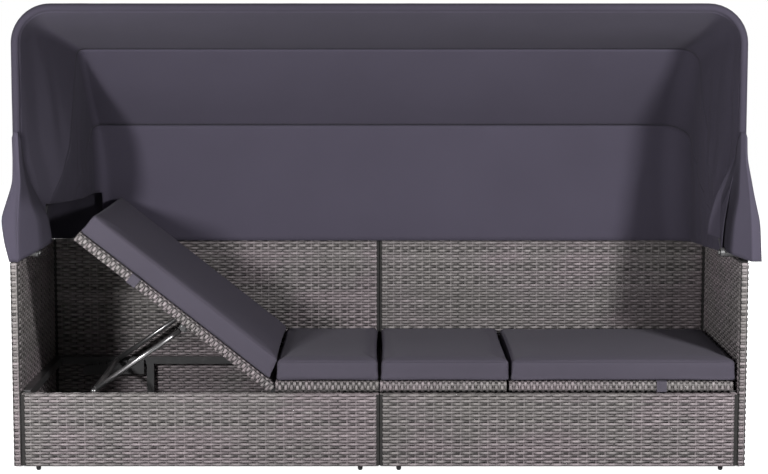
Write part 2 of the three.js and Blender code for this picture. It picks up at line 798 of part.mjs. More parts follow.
// A hub bracket stands on the arm, with the stud that the three hoops turn on
function hubBracket(side) {
  const sign = sideSign[side];
  const outer = halfWidth - bracketEdge;
  const base = sideTop + fitGap;
  const plate = block(
    armInner + bracketEdge, outer, hubY - bracketPlateLength / 2, hubY + bracketPlateLength / 2,
    base, base + bracketPlateThickness);
  const stackEnd = hoopHalfWidth + hoopPitch / 2;
  const earNear = stackEnd + eyeGap;
  const earFar = earNear + bracketPlateThickness;
  const ear = block(earNear, earFar, hubY - bracketEarHalfWidth, hubY + bracketEarHalfWidth, base, hubZ);
  const crown = rodAlongX(bracketEarHalfWidth, earNear, earFar, hubY, hubZ);
  const nutNear = hoopHalfWidth - 2 * hoopPitch - hoopPitch / 2 - eyeGap;
  const stud = rodAlongX(studRadius, nutNear - studNutWidth, earFar, hubY, hubZ);
  const nut = rodAlongX(studNutRadius, nutNear - studNutWidth, nutNear, hubY, hubZ, 6);
  place(daybed, `hub_bracket_${side}`, mirrored(joined([plate, ear, crown, stud, nut]), sign), zinc);
}

// How far the loose lower cloth stands out from the hoop line, by the distance from the hub
function flare(reach) {
  const rise = THREE.MathUtils.smoothstep(flareReach - reach, 0, flareReach - flareFull);
  const turnIn = THREE.MathUtils.smoothstep(flareFull - reach, 0, flareFull);
  return flareWidth * rise - (flareWidth - flareAtHem) * turnIn;
}

// How far the cloth between two hoops hangs in, by the share of the way between them
function sag(stop, share) {
  const side = Math.abs(stop.out[0]);
  const between = Math.sin(Math.PI * share);
  const low = THREE.MathUtils.smoothstep(hoops.front.length - stop.reach, foldStart, foldFull);
  const nearHub = THREE.MathUtils.smoothstep(stop.reach, clothFirstRadius, flareReach);
  const waves = Math.sin(Math.PI * foldsPerSection * share) ** 2;
  return roofSag * between * (1 - side * low) + foldDepth * between * waves * side * low * nearHub;
}

// One section of the canopy: a sheet from one hoop's track to the next, open along its edges
function clothSection(name, fromName, toName, sleeved) {
  const steps = { leg: legSteps, corner: clothCornerSteps, bar: barSteps };
  const from = hoops[fromName];
  const to = hoops[toName];
  const fromTrack = hoopTrack(from, clothFirstRadius, steps);
  const toTrack = hoopTrack(to, clothFirstRadius, steps);
  const columns = fromTrack.length;
  const points = [];
  const layers = [clothGap, clothGap + clothThickness];
  let rows = 0;
  for (const layer of layers) {
    rows = 0;
    const off = tubeRadius + layer;
    if (sleeved) {
      for (let j = sleeveSteps; j >= 1; j -= 1) {
        for (const stop of fromTrack) {
          const wide = flare(stop.reach) * Math.abs(stop.out[0]);
          const nearness = flareReach + sleeveLooseLead - stop.reach;
          const loose = THREE.MathUtils.smoothstep(nearness, 0, sleeveLooseLead);
          const wrap = THREE.MathUtils.lerp(sleeveTurn, sleeveTurnLoose, loose);
          const turn = THREE.MathUtils.degToRad((wrap * j) / sleeveSteps);
          const outward = off * Math.cos(turn) + wide;
          const across = stop.across + stop.out[0] * outward;
          const point = fanPoint(from, across, stop.reach + stop.out[1] * outward);
          point.y -= off * Math.sin(turn);
          points.push(point);
        }
        rows += 1;
      }
    }
    for (let j = 0; j <= clothRows; j += 1) {
      for (let i = 0; i < columns; i += 1) {
        const a = fromTrack[i];
        const b = toTrack[i];
        const share = j / clothRows;
        const wideA = off + flare(a.reach) * Math.abs(a.out[0]);
        const wideB = off + flare(b.reach) * Math.abs(b.out[0]);
        const start = fanPoint(from, a.across + a.out[0] * wideA, a.reach + a.out[1] * wideA);
        const end = fanPoint(to, b.across + b.out[0] * wideB, b.reach + b.out[1] * wideB);
        const seamShare = clothSeamGap / start.distanceTo(end);
        const along = sleeved && share === 0 ? 0 : seamShare + (1 - 2 * seamShare) * share;
        const point = start.clone().lerp(end, along);
        const middle = { ...hoops.mid, angle: from.angle + (to.angle - from.angle) * share };
        const zero = fanPoint(middle, 0, 0);
        const inward = fanPoint(middle, -a.out[0], -a.out[1]).sub(zero);
        point.addScaledVector(inward, sag(a, share));
        points.push(point);
      }
      rows += 1;
    }
  }
  place(daybed, name, solidOf(indexed(points, sheetFaces(columns, rows))), canopyCloth);
}

// Faces of a closed sheet whose inner and outer layers have the same rows and columns
function sheetFaces(columns, rows) {
  const faces = [];
  const outer = columns * rows;
  const quad = (a, b, c, d) => faces.push(a, b, c, a, c, d);
  for (let j = 0; j + 1 < rows; j += 1) {
    for (let i = 0; i + 1 < columns; i += 1) {
      const a = j * columns + i;
      quad(a, a + 1, a + columns + 1, a + columns);
      quad(outer + a, outer + a + columns, outer + a + columns + 1, outer + a + 1);
    }
  }
  for (let i = 0; i + 1 < columns; i += 1) {
    const last = (rows - 1) * columns + i;
    quad(i + 1, i, outer + i, outer + i + 1);
    quad(last, last + 1, outer + last + 1, outer + last);
  }
  for (let j = 0; j + 1 < rows; j += 1) {
    const first = j * columns;
    const last = first + columns - 1;
    quad(first, first + columns, outer + first + columns, outer + first);
    quad(last + columns, last, outer + last, outer + last + columns);
  }
  return faces;
}

for (const side of ["left", "right"]) {
  armPanel(side);
  backPanel(side);
  apronPanel(side);
  rails(side);
  joist(side);
  racks(side);
  glides(side);
  fixedSeat(side);
  fixedCushion(side);
  backrest(side);
  hubBracket(side);
}
centreJoist();
for (const name of ["front", "mid", "rear"]) {
  hoop(name);
}
clothSection("canopy_roof", "front", "mid", true);
clothSection("canopy_upper_back", "mid", "rear", false);
clothSection("canopy_lower_back", "rear", "frame", false);

export default daybed;
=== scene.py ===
"""Outdoor daybed with a folding canopy: woven panels, cushions, steel frame and canopy cloth."""

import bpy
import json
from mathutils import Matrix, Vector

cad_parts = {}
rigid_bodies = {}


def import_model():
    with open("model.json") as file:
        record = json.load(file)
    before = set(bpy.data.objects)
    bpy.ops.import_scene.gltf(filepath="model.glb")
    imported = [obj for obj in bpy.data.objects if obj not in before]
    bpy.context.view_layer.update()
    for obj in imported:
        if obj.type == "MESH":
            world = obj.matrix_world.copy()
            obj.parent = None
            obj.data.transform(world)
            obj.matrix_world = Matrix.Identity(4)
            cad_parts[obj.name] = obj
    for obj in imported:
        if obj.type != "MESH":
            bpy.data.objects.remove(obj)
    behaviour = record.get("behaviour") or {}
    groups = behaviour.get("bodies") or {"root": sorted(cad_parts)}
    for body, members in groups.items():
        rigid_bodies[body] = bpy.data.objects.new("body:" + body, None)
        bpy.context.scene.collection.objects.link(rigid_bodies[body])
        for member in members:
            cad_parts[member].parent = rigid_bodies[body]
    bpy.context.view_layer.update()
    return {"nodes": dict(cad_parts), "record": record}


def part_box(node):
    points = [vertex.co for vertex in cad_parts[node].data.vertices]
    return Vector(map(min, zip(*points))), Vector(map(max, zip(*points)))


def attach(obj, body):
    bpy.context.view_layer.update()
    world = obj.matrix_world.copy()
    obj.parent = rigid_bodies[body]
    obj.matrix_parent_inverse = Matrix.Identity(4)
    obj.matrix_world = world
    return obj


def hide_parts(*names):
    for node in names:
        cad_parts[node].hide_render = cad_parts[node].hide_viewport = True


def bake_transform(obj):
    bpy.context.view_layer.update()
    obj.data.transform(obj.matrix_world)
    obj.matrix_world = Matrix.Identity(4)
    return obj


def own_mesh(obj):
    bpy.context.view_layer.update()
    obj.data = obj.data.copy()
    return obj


bl_info = {
    "name": "Canopy Daybed",
    "version": (1, 0, 0),
    "blender": (4, 5, 0),
    "location": "View3D > Sidebar > Daybed",
    "description": "Dresses the frame of an outdoor daybed with weave, cushions and a canopy",
    "category": "Object",
}

import functools
import json
import math

import bmesh
import bpy
import numpy as np
from mathutils import Matrix, Vector, noise
from mathutils.bvhtree import BVHTree

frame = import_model()

# Places and sizes of the frame. Lengths are in metres and angles in degrees.
SIDES = {"left": -1, "right": 1}
SEAT_LOW, SEAT_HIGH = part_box("seat_cover_right")
SEAT_TOP = SEAT_HIGH[2]
SEAT_MIDDLE = 0.238
SEAT_THICKNESS = 0.028
PIN = {"left": 0.307, "right": 0.370}
REST_ANGLE = {"left": 38.5, "right": 0.0}
PANEL_LENGTH = {"left": 0.679, "right": 0.617}
LIFT_REAR_GAP = 0.0065  # how much sooner the lifting panels end at the rear than the fixed ones
HUB_Y = -0.270
HUB_Z = 0.612
TUBE = 0.009
HOOPS = {
    "front": {"length": 0.677, "angle": 0.0, "half": 1.004, "corner": 0.100},
    "mid": {"length": 0.652, "angle": 29.7, "half": 0.982, "corner": 0.100},
    "rear": {"length": 0.624, "angle": 58.1, "half": 0.960, "corner": 0.100},
    "frame": {"length": 0.5564, "angle": 92.2, "half": 1.006, "corner": 0.035},
}


# Materials


def plug(tree, socket, value):
    """Link a value to a socket, or set it there"""
    if isinstance(value, Value):
        value = value.socket
    if isinstance(value, bpy.types.NodeSocket):
        tree.links.new(value, socket)
    else:
        socket.default_value = value


class Value:
    """A socket of a node tree that can stand in a sum"""

    def __init__(self, tree, socket):
        self.tree = tree
        self.socket = socket

    def maths(self, operation, other=0.0, swapped=False):
        node = self.tree.nodes.new("ShaderNodeMath")
        node.operation = operation
        pair = (other, self) if swapped else (self, other)
        for socket, value in zip(node.inputs, pair):
            plug(self.tree, socket, value)
        return Value(self.tree, node.outputs[0])

    def __add__(self, other):
        return self.maths("ADD", other)

    def __radd__(self, other):
        return self.maths("ADD", other, True)

    def __sub__(self, other):
        return self.maths("SUBTRACT", other)

    def __rsub__(self, other):
        return self.maths("SUBTRACT", other, True)

    def __mul__(self, other):
        return self.maths("MULTIPLY", other)

    def __rmul__(self, other):
        return self.maths("MULTIPLY", other, True)

    def __truediv__(self, other):
        return self.maths("DIVIDE", other)


class Tree:
    """A node tree under construction, for a material or for geometry"""

    def __init__(self, tree):
        self.tree = tree
        tree.nodes.clear()

    def node(self, kind, settings=None, inputs=None, output=0):
        """Add a node: its settings first, then the values or links of its sockets"""
        node = self.tree.nodes.new(kind)
        for name, value in (settings or {}).items():
            if name == "stops":
                stops = node.color_ramp.elements
                while len(stops) < len(value):
                    stops.new(0.5)
                for stop, (place, colour) in zip(stops, value):
                    stop.position = place
                    stop.color = (*colour, 1)
            else:
                setattr(node, name, value)
        for key, value in (inputs or {}).items():
            plug(self.tree, node.inputs[key], value)
        if output is None:
            return node
        return Value(self.tree, node.outputs[output])

    def mix(self, share, first, second, blend="MIX"):
        """Mix two colours"""
        pair = [c if isinstance(c, Value) else (*c, 1) for c in (first, second)]
        settings = {"data_type": "RGBA", "blend_type": blend}
        return self.node("ShaderNodeMix", settings, {0: share, 6: pair[0], 7: pair[1]}, 2)

    def vectors(self, operation, first, second, key=1, output="Vector"):
        """Vector maths on two values"""
        inputs = {0: first, key: second}
        return self.node("ShaderNodeVectorMath", {"operation": operation}, inputs, output)

    def noise(self, place, scale, detail=2.0, roughness=0.5):
        inputs = {"Vector": place, "Scale": scale, "Detail": detail, "Roughness": roughness}
        return self.node("ShaderNodeTexNoise", None, inputs)

    def drawn_noise(self, place, stretch, detail):
        """Noise that is finer along some axes than along others"""
        return self.noise(self.vectors("MULTIPLY", place, stretch), 1.0, detail)

    def axis(self, place, index):
        """One axis of a place"""
        return self.node("ShaderNodeSeparateXYZ", None, {0: place}, index)

    def vector(self, x, y, z):
        return self.node("ShaderNodeCombineXYZ", None, {0: x, 1: y, 2: z})

    def ramp(self, value, stops):
        return self.node("ShaderNodeValToRGB", {"stops": stops}, {0: value})

    def bump(self, height, distance, strength):
        inputs = {"Height": height, "Distance": distance, "Strength": strength}
        return self.node("ShaderNodeBump", None, inputs)

    def place(self):
        """Where a point lies on the object"""
        return self.node("ShaderNodeTexCoord", output="Object")

    def own(self, name, output="Vector"):
        """A value that the mesh carries"""
        return self.node("ShaderNodeAttribute", {"attribute_name": name}, None, output)


def finish_material(name, build):
    """Make a material whose surface comes from a function of its tree"""
    if name in bpy.data.materials:
        return bpy.data.materials[name]
    material = bpy.data.materials.new(name)
    material.use_nodes = True
    tree = Tree(material.node_tree)
    shader = tree.node("ShaderNodeBsdfPrincipled", None, build(tree))
    tree.node("ShaderNodeOutputMaterial", None, {"Surface": shader}, None)
    return material


def woven_resin(tree):
    """Flat resin strands in mixed greys, with fine grooves along each strand, painted shade where strands
    dip behind ribs and on the ribs, a painted highlight on each float and painted light that grows with
    height
    """
    lay = tree.own("lay")
    over = tree.own("over", "Fac")
    strand = tree.own("strand", "Fac")
    row = tree.node("ShaderNodeTexWhiteNoise", {"noise_dimensions": "1D"}, {"W": strand * 917.0})
    along = tree.drawn_noise(lay, (9.0, 9.0, 160.0), 3.0)
    patch = tree.noise(lay, 3.2, 2.0)
    grain = tree.drawn_noise(lay, (60.0, 60.0, 2400.0), 2.0)
    fleck = tree.drawn_noise(lay, (90.0, 90.0, 30.0), 1.0)
    dashed = row.maths("LESS_THAN", 0.26)
    # painted highlight along the top of each float
    shine = (over - 0.45).maths("MAXIMUM", 0.0)
    # painted shade where a strand dips behind a rib, deeper on some rows, and darkest on the ribs themselves
    tone = row * 0.20 + along * 0.42 + patch * 0.20 + over * (0.05 + dashed * 0.16)
    # the last term is painted light: the weave is drawn lighter higher up
    tone = tone + shine * fleck * 0.30 - dashed * 0.03 + tree.axis(tree.place(), 2) * 0.11
    base = tree.ramp(
        tone,
        [
            (0.05, (0.062, 0.057, 0.0575)),
            (0.30, (0.153, 0.140, 0.142)),
            (0.56, (0.276, 0.252, 0.2555)),
            (0.90, (0.534, 0.489, 0.495)),
        ],
    )
    tint = tree.ramp(
        patch + row * 0.12 - 0.06,
        [(0.38, (0.985, 1.0, 0.96)), (0.48, (1.0, 0.995, 0.985)), (0.58, (1.02, 0.955, 0.988))],
    )
    return {
        "Base Color": tree.mix(1.0, base, tint, "MULTIPLY"),
        "Roughness": 0.40 + along * 0.18,
        "Specular IOR Level": 0.45,
        "Normal": tree.bump(grain, 0.0006, 0.35),
    }


def panel_core(tree):
    """What shows in the gaps of the weave: nearly black, a painted shade for the panel's inside"""
    shade = tree.noise(tree.place(), 60.0)
    return {
        "Base Color": tree.mix(shade, (0.012, 0.011, 0.011), (0.03, 0.028, 0.027)),
        "Roughness": 0.8,
    }


def fabric(colour, pitch, depth, slub):
    """Plain woven cloth: threads both ways, slubs and a slight change of tone, darkened by the painted shade
    that a mesh carries
    """

    def build(tree):
        lay = tree.own("lay")
        turn = 2 * math.pi / pitch
        warp, weft = ((tree.axis(lay, axis) * turn).maths("SINE") for axis in (0, 1))
        threads = warp * weft
        cloud = tree.noise(lay, 3.2, 3.0)
        fleck = tree.drawn_noise(lay, (240.0, 900.0, 900.0), 2.0)
        dark = [c * 0.86 for c in colour]
        light = [c * 1.14 for c in colour]
        base = tree.mix(cloud * 0.8 + fleck * slub + threads * 0.05 - 0.1, dark, light)
        # painted shade that the mesh carries: darker above 0, lighter below 0
        shade = 1.0 - tree.own("fade", "Fac")
        return {
            "Base Color": tree.mix(1.0, base, tree.vector(shade, shade, shade), "MULTIPLY"),
            "Roughness": 0.84 + fleck * 0.12,
            "Sheen Weight": 0.04,
            "Sheen Roughness": 0.5,
            "Specular IOR Level": 0.12,
            "Normal": tree.bump(threads * 0.5 + fleck * 0.9, depth, 0.5),
        }

    return build


def painted_steel(tree):
    """Black powder coat with fine orange peel and rubbed highlights"""
    place = tree.place()
    peel = tree.noise(place, 900.0, 2.0)
    wear = tree.noise(place, 38.0, 4.0, 0.6)
    rubbed = tree.ramp(wear, [(0.60, (0.0, 0.0, 0.0)), (0.78, (1.0, 1.0, 1.0))])
    return {
        "Base Color": tree.mix(rubbed, (0.062, 0.061, 0.063), (0.100, 0.098, 0.098)),
        "Roughness": 0.26 + wear * 0.16,
        "Specular IOR Level": 0.8,
        "Coat Weight": 0.5,
        "Coat Roughness": 0.18,
        "Normal": tree.bump(peel, 0.0002, 0.4),
    }


def grained(grain, dark, light, roughness, bump, metallic=0.0):
    """A smooth finish whose colour, roughness and relief follow one fine grain"""

    def build(tree):
        place = tree.place()
        stretch, scale, detail = grain
        if stretch:
            shade = tree.drawn_noise(place, stretch, detail)
        else:
            shade = tree.noise(place, scale, detail)
        return {
            "Base Color": tree.mix(shade, dark, light),
            "Metallic": metallic,
            "Roughness": roughness[0] + shade * roughness[1],
            "Normal": tree.bump(shade, *bump),
        }

    return build


def ribbed_webbing(tree):
    """Flat strap with ribs across it"""
    lay = tree.own("lay")
    rib = (tree.axis(lay, 1) * 2600.0).maths("SINE")
    fleck = tree.noise(lay, 300.0, 2.0)
    return {
        "Base Color": tree.mix(fleck + rib * 0.15, (0.064, 0.057, 0.076), (0.090, 0.080, 0.106)),
        "Roughness": 0.78 + fleck * 0.15,
        "Normal": tree.bump(rib * 0.5 + fleck, 0.0005, 0.6),
    }


# Grain (stretch, scale, detail), dark and light colour, roughness and bump of the plain finishes
POLISHED = grained(
    ((30.0, 400.0, 30.0), 1.0, 2.0),
    (0.26, 0.255, 0.26),
    (0.40, 0.395, 0.40),
    (0.24, 0.14),
    (0.0002, 0.3),
    0.9,
)
ZINC = grained((None, 420.0, 3.0), (0.13, 0.13, 0.135), (0.21, 0.21, 0.205), (0.46, 0.2), (0.0002, 0.3), 1.0)
PLASTIC = grained(
    (None, 700.0, 3.0), (0.012, 0.012, 0.013), (0.022, 0.022, 0.023), (0.42, 0.16), (0.0003, 0.4)
)
CUSHION_COLOUR = np.array((0.0800, 0.0715, 0.0945))
CANOPY_COLOUR = np.array((0.0780, 0.0694, 0.0980))
FINISHES = {
    "resin_weave": woven_resin,
    "panel_core": panel_core,
    "cushion_cloth": fabric(CUSHION_COLOUR, 0.0016, 0.0004, 0.30),
    "cushion_seam": fabric(CUSHION_COLOUR * 0.88, 0.0012, 0.0003, 0.2),
    "canopy_cloth": fabric(CANOPY_COLOUR, 0.0011, 0.0002, 0.22),
    # the binding is the canopy cloth made darker: painted shade
    "canopy_hem": fabric(CANOPY_COLOUR * 0.72, 0.0011, 0.0002, 0.22),
    "painted_steel": painted_steel,
    "polished_bar": POLISHED,
    "zinc_plate": ZINC,
    "moulded_plastic": PLASTIC,
    "ribbed_webbing": ribbed_webbing,
}


def look(name):
    """A finish of the daybed, made on first use"""
    return finish_material("daybed_" + name, FINISHES[name])


# Meshes


def new_object(name, data, place=(0, 0, 0)):
    """An object in the scene"""
    thing = bpy.data.objects.new(name, data)
    thing.location = place
    bpy.context.scene.collection.objects.link(thing)
    return thing


def new_piece(name, mesh, *looks):
    """An object at the origin that holds a mesh and its materials"""
    for finish in looks:
        mesh.materials.append(look(finish))
    return new_object(name, mesh)


def mesh_from(name, points, faces, smooth=True):
    """A mesh from points and faces"""
    mesh = bpy.data.meshes.new(name)
    mesh.from_pydata([tuple(p) for p in points], [], [tuple(f) for f in faces])
    mesh.polygons.foreach_set("use_smooth", [smooth] * len(mesh.polygons))
    mesh.update()
    return mesh


def evaluated_mesh(piece):
    """A plain mesh of an object with its modifiers"""
    bpy.context.view_layer.update()
    graph = bpy.context.evaluated_depsgraph_get()
    return bpy.data.meshes.new_from_object(piece.evaluated_get(graph))


def carry_lay(mesh, places):
    """Write each point's place on the flat cloth into the mesh"""
    attribute = mesh.attributes.get("lay") or mesh.attributes.new("lay", "FLOAT_VECTOR", "POINT")
    attribute.data.foreach_set("vector", np.asarray(places, dtype=np.float32).ravel())


def carry_painted_shade(mesh, painted_shade_values):
    """Write the painted shade at each point: how much darker the cloth is drawn there"""
    attribute = mesh.attributes.new("fade", "FLOAT", "POINT")
    attribute.data.foreach_set("value", np.asarray(painted_shade_values, dtype=np.float32).ravel())


def points_of(mesh):
    """A mesh's points as an array"""
    flat = np.empty(len(mesh.vertices) * 3)
    mesh.vertices.foreach_get("co", flat)
    return flat.reshape(-1, 3)


def set_points(mesh, points):
    mesh.vertices.foreach_set("co", np.asarray(points, dtype=float).ravel())
    mesh.update()


def runs_along(path):
    """How far each point of a path lies from its start"""
    runs = [0.0]
    for p, q in zip(path, path[1:]):
        runs.append(runs[-1] + (q - p).length)
    return runs


def merged(name, pieces):
    """Join pieces into one, which keeps all their materials"""
    for piece in bpy.context.view_layer.objects:
        piece.select_set(piece in pieces)
    bpy.context.view_layer.objects.active = pieces[0]
    bpy.ops.object.join()
    pieces[0].name = name
    pieces[0].data.name = name
    return pieces[0]


def outward(piece):
    """Turn a closed piece's faces outwards"""
    build = bmesh.new()
    build.from_mesh(piece.data)
    bmesh.ops.recalc_face_normals(build, faces=build.faces)
    build.to_mesh(piece.data)
    build.free()
    return piece


def ring_faces(count, sides, closed):
    """The faces from each ring of points to the next, and over both ends if they stay apart"""
    faces = []
    for i in range(count if closed else count - 1):
        a = i * sides
        b = ((i + 1) % count) * sides
        for k in range(sides):
            n = (k + 1) % sides
            faces.append((a + k, a + n, b + n, b + k))
    if not closed:
        faces.append(tuple(reversed(range(sides))))
        faces.append(tuple(range((count - 1) * sides, count * sides)))
    return faces


def tube_mesh(name, path, radius, sides, closed=False):
    """A round tube along a path of points, closed at its ends"""
    path = [Vector(p) for p in path]
    count = len(path)
    points = []
    lays = []
    normal = None
    for i, (point, run) in enumerate(zip(path, runs_along(path))):
        before = path[i - 1] if i > 0 or closed else point
        after = path[(i + 1) % count] if i + 1 < count or closed else point
        along = (after - before).normalized()
        if normal is None:
            normal = along.orthogonal().normalized()
        normal = (normal - along * normal.dot(along)).normalized()
        side = along.cross(normal)
        for k in range(sides):
            turn = 2 * math.pi * k / sides
            offset = normal * math.cos(turn) + side * math.sin(turn)
            points.append(point + offset * radius)
            lays.append((run, radius * turn, 0.0))
    mesh = mesh_from(name, points, ring_faces(count, sides, closed))
    carry_lay(mesh, lays)
    return mesh


def rounded_path(corners, radius, steps):
    """A path through corners, each of them rounded"""
    corners = [Vector(c) for c in corners]
    path = [corners[0]]
    for before, corner, after in zip(corners, corners[1:], corners[2:]):
        into = before - corner
        out = after - corner
        reach = radius / math.tan(into.angle(out) / 2)
        reach = min(reach, into.length / 2, out.length / 2)
        start = corner + into.normalized() * reach
        end = corner + out.normalized() * reach
        for i in range(steps + 1):
            share = i / steps
            path.append(start.lerp(corner, share).lerp(corner.lerp(end, share), share))
    path.append(corners[-1])
    return path


def dress(piece, body, node):
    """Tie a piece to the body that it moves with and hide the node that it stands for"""
    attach(piece, body)
    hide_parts(node)


# Woven panels


class Geometry(Tree):
    """A geometry node tree with named inputs"""

    def __init__(self, name):
        group = bpy.data.node_groups.new(name, "GeometryNodeTree")
        super().__init__(group)
        self.inputs = self.node("NodeGroupInput", output=None)
        self.sockets = {}
        group.interface.new_socket("Geometry", in_out="OUTPUT", socket_type="NodeSocketGeometry")

    def size(self, name, default, kind="NodeSocketFloat"):
        """A named input"""
        socket = self.tree.interface.new_socket(name, in_out="INPUT", socket_type=kind)
        socket.default_value = default
        self.sockets[name] = socket.identifier
        return Value(self.tree, self.inputs.outputs[name])

    def geo(self, kind, inputs=None, settings=None, output=0):
        """A geometry node, by what follows GeometryNode in its name"""
        return self.node("GeometryNode" + kind, settings, inputs, output)

    def line(self, count, start, offset):
        """A line of points"""
        inputs = {"Count": count, "Start Location": start, "Offset": offset}
        return self.geo("MeshLine", inputs, {"mode": "OFFSET", "count_mode": "TOTAL"})

    def box(self, x, y, z):
        return self.geo("MeshCube", {"Size": self.vector(x, y, z)})

    def resampled(self, curve, count):
        return self.geo("ResampleCurve", {"Curve": curve, "Count": count}, {"mode": "COUNT"})

    def joined(self, parts, kind="JoinGeometry"):
        """Parts joined, in their order"""
        node = self.geo(kind, output=None)
        for part in reversed(parts):
            self.tree.links.new(part.socket, node.inputs[0])
        return Value(self.tree, node.outputs[0])

    def store(self, geometry, name, value, kind, domain):
        settings = {"data_type": kind, "domain": domain}
        inputs = {"Geometry": geometry, "Name": name}
        node = self.geo("StoreNamedAttribute", inputs, settings, None)
        plug(self.tree, node.inputs["Value"], value)
        return Value(self.tree, node.outputs[0])

    def tone(self, low, high, identity, seed):
        """A random number for each copy"""
        inputs = {2: low, 3: high, "ID": identity, "Seed": seed}
        return self.node("FunctionNodeRandomValue", {"data_type": "FLOAT"}, inputs, 1)

    def painted(self, geometry, finish, chosen=True):
        inputs = {0: geometry, "Selection": chosen, "Material": look(finish)}
        return self.geo("SetMaterial", inputs)


WEAVE_SIZES = {
    "Width": 1.0,
    "Thickness": 0.026,
    "Height": 0.5,
    "Row Pitch": 0.008,
    "Strand Width": 0.0076,
    "Strand Thickness": 0.0016,
    "Weave Depth": 0.0011,
    "Corner Radius": 0.006,
    "Core Reach": 0.0,
}
WEAVE_COUNTS = {"Rib Count": 80, "Cap Rib Count": 40, "Seed": 1}
STRAND_TOP = 0.7  # how wide a strand's outer face is, as a share of its width
CAP_STRANDS = 3
CAP_SPREAD = 500  # keeps the tones of the top strands apart from those of the rows
# The ribs' mark lies below every strand's, so the finish paints the ribs in the weave's darkest painted
# shade
RIB_MARK = -2.0  # the ribs' mark in the strands' over and under


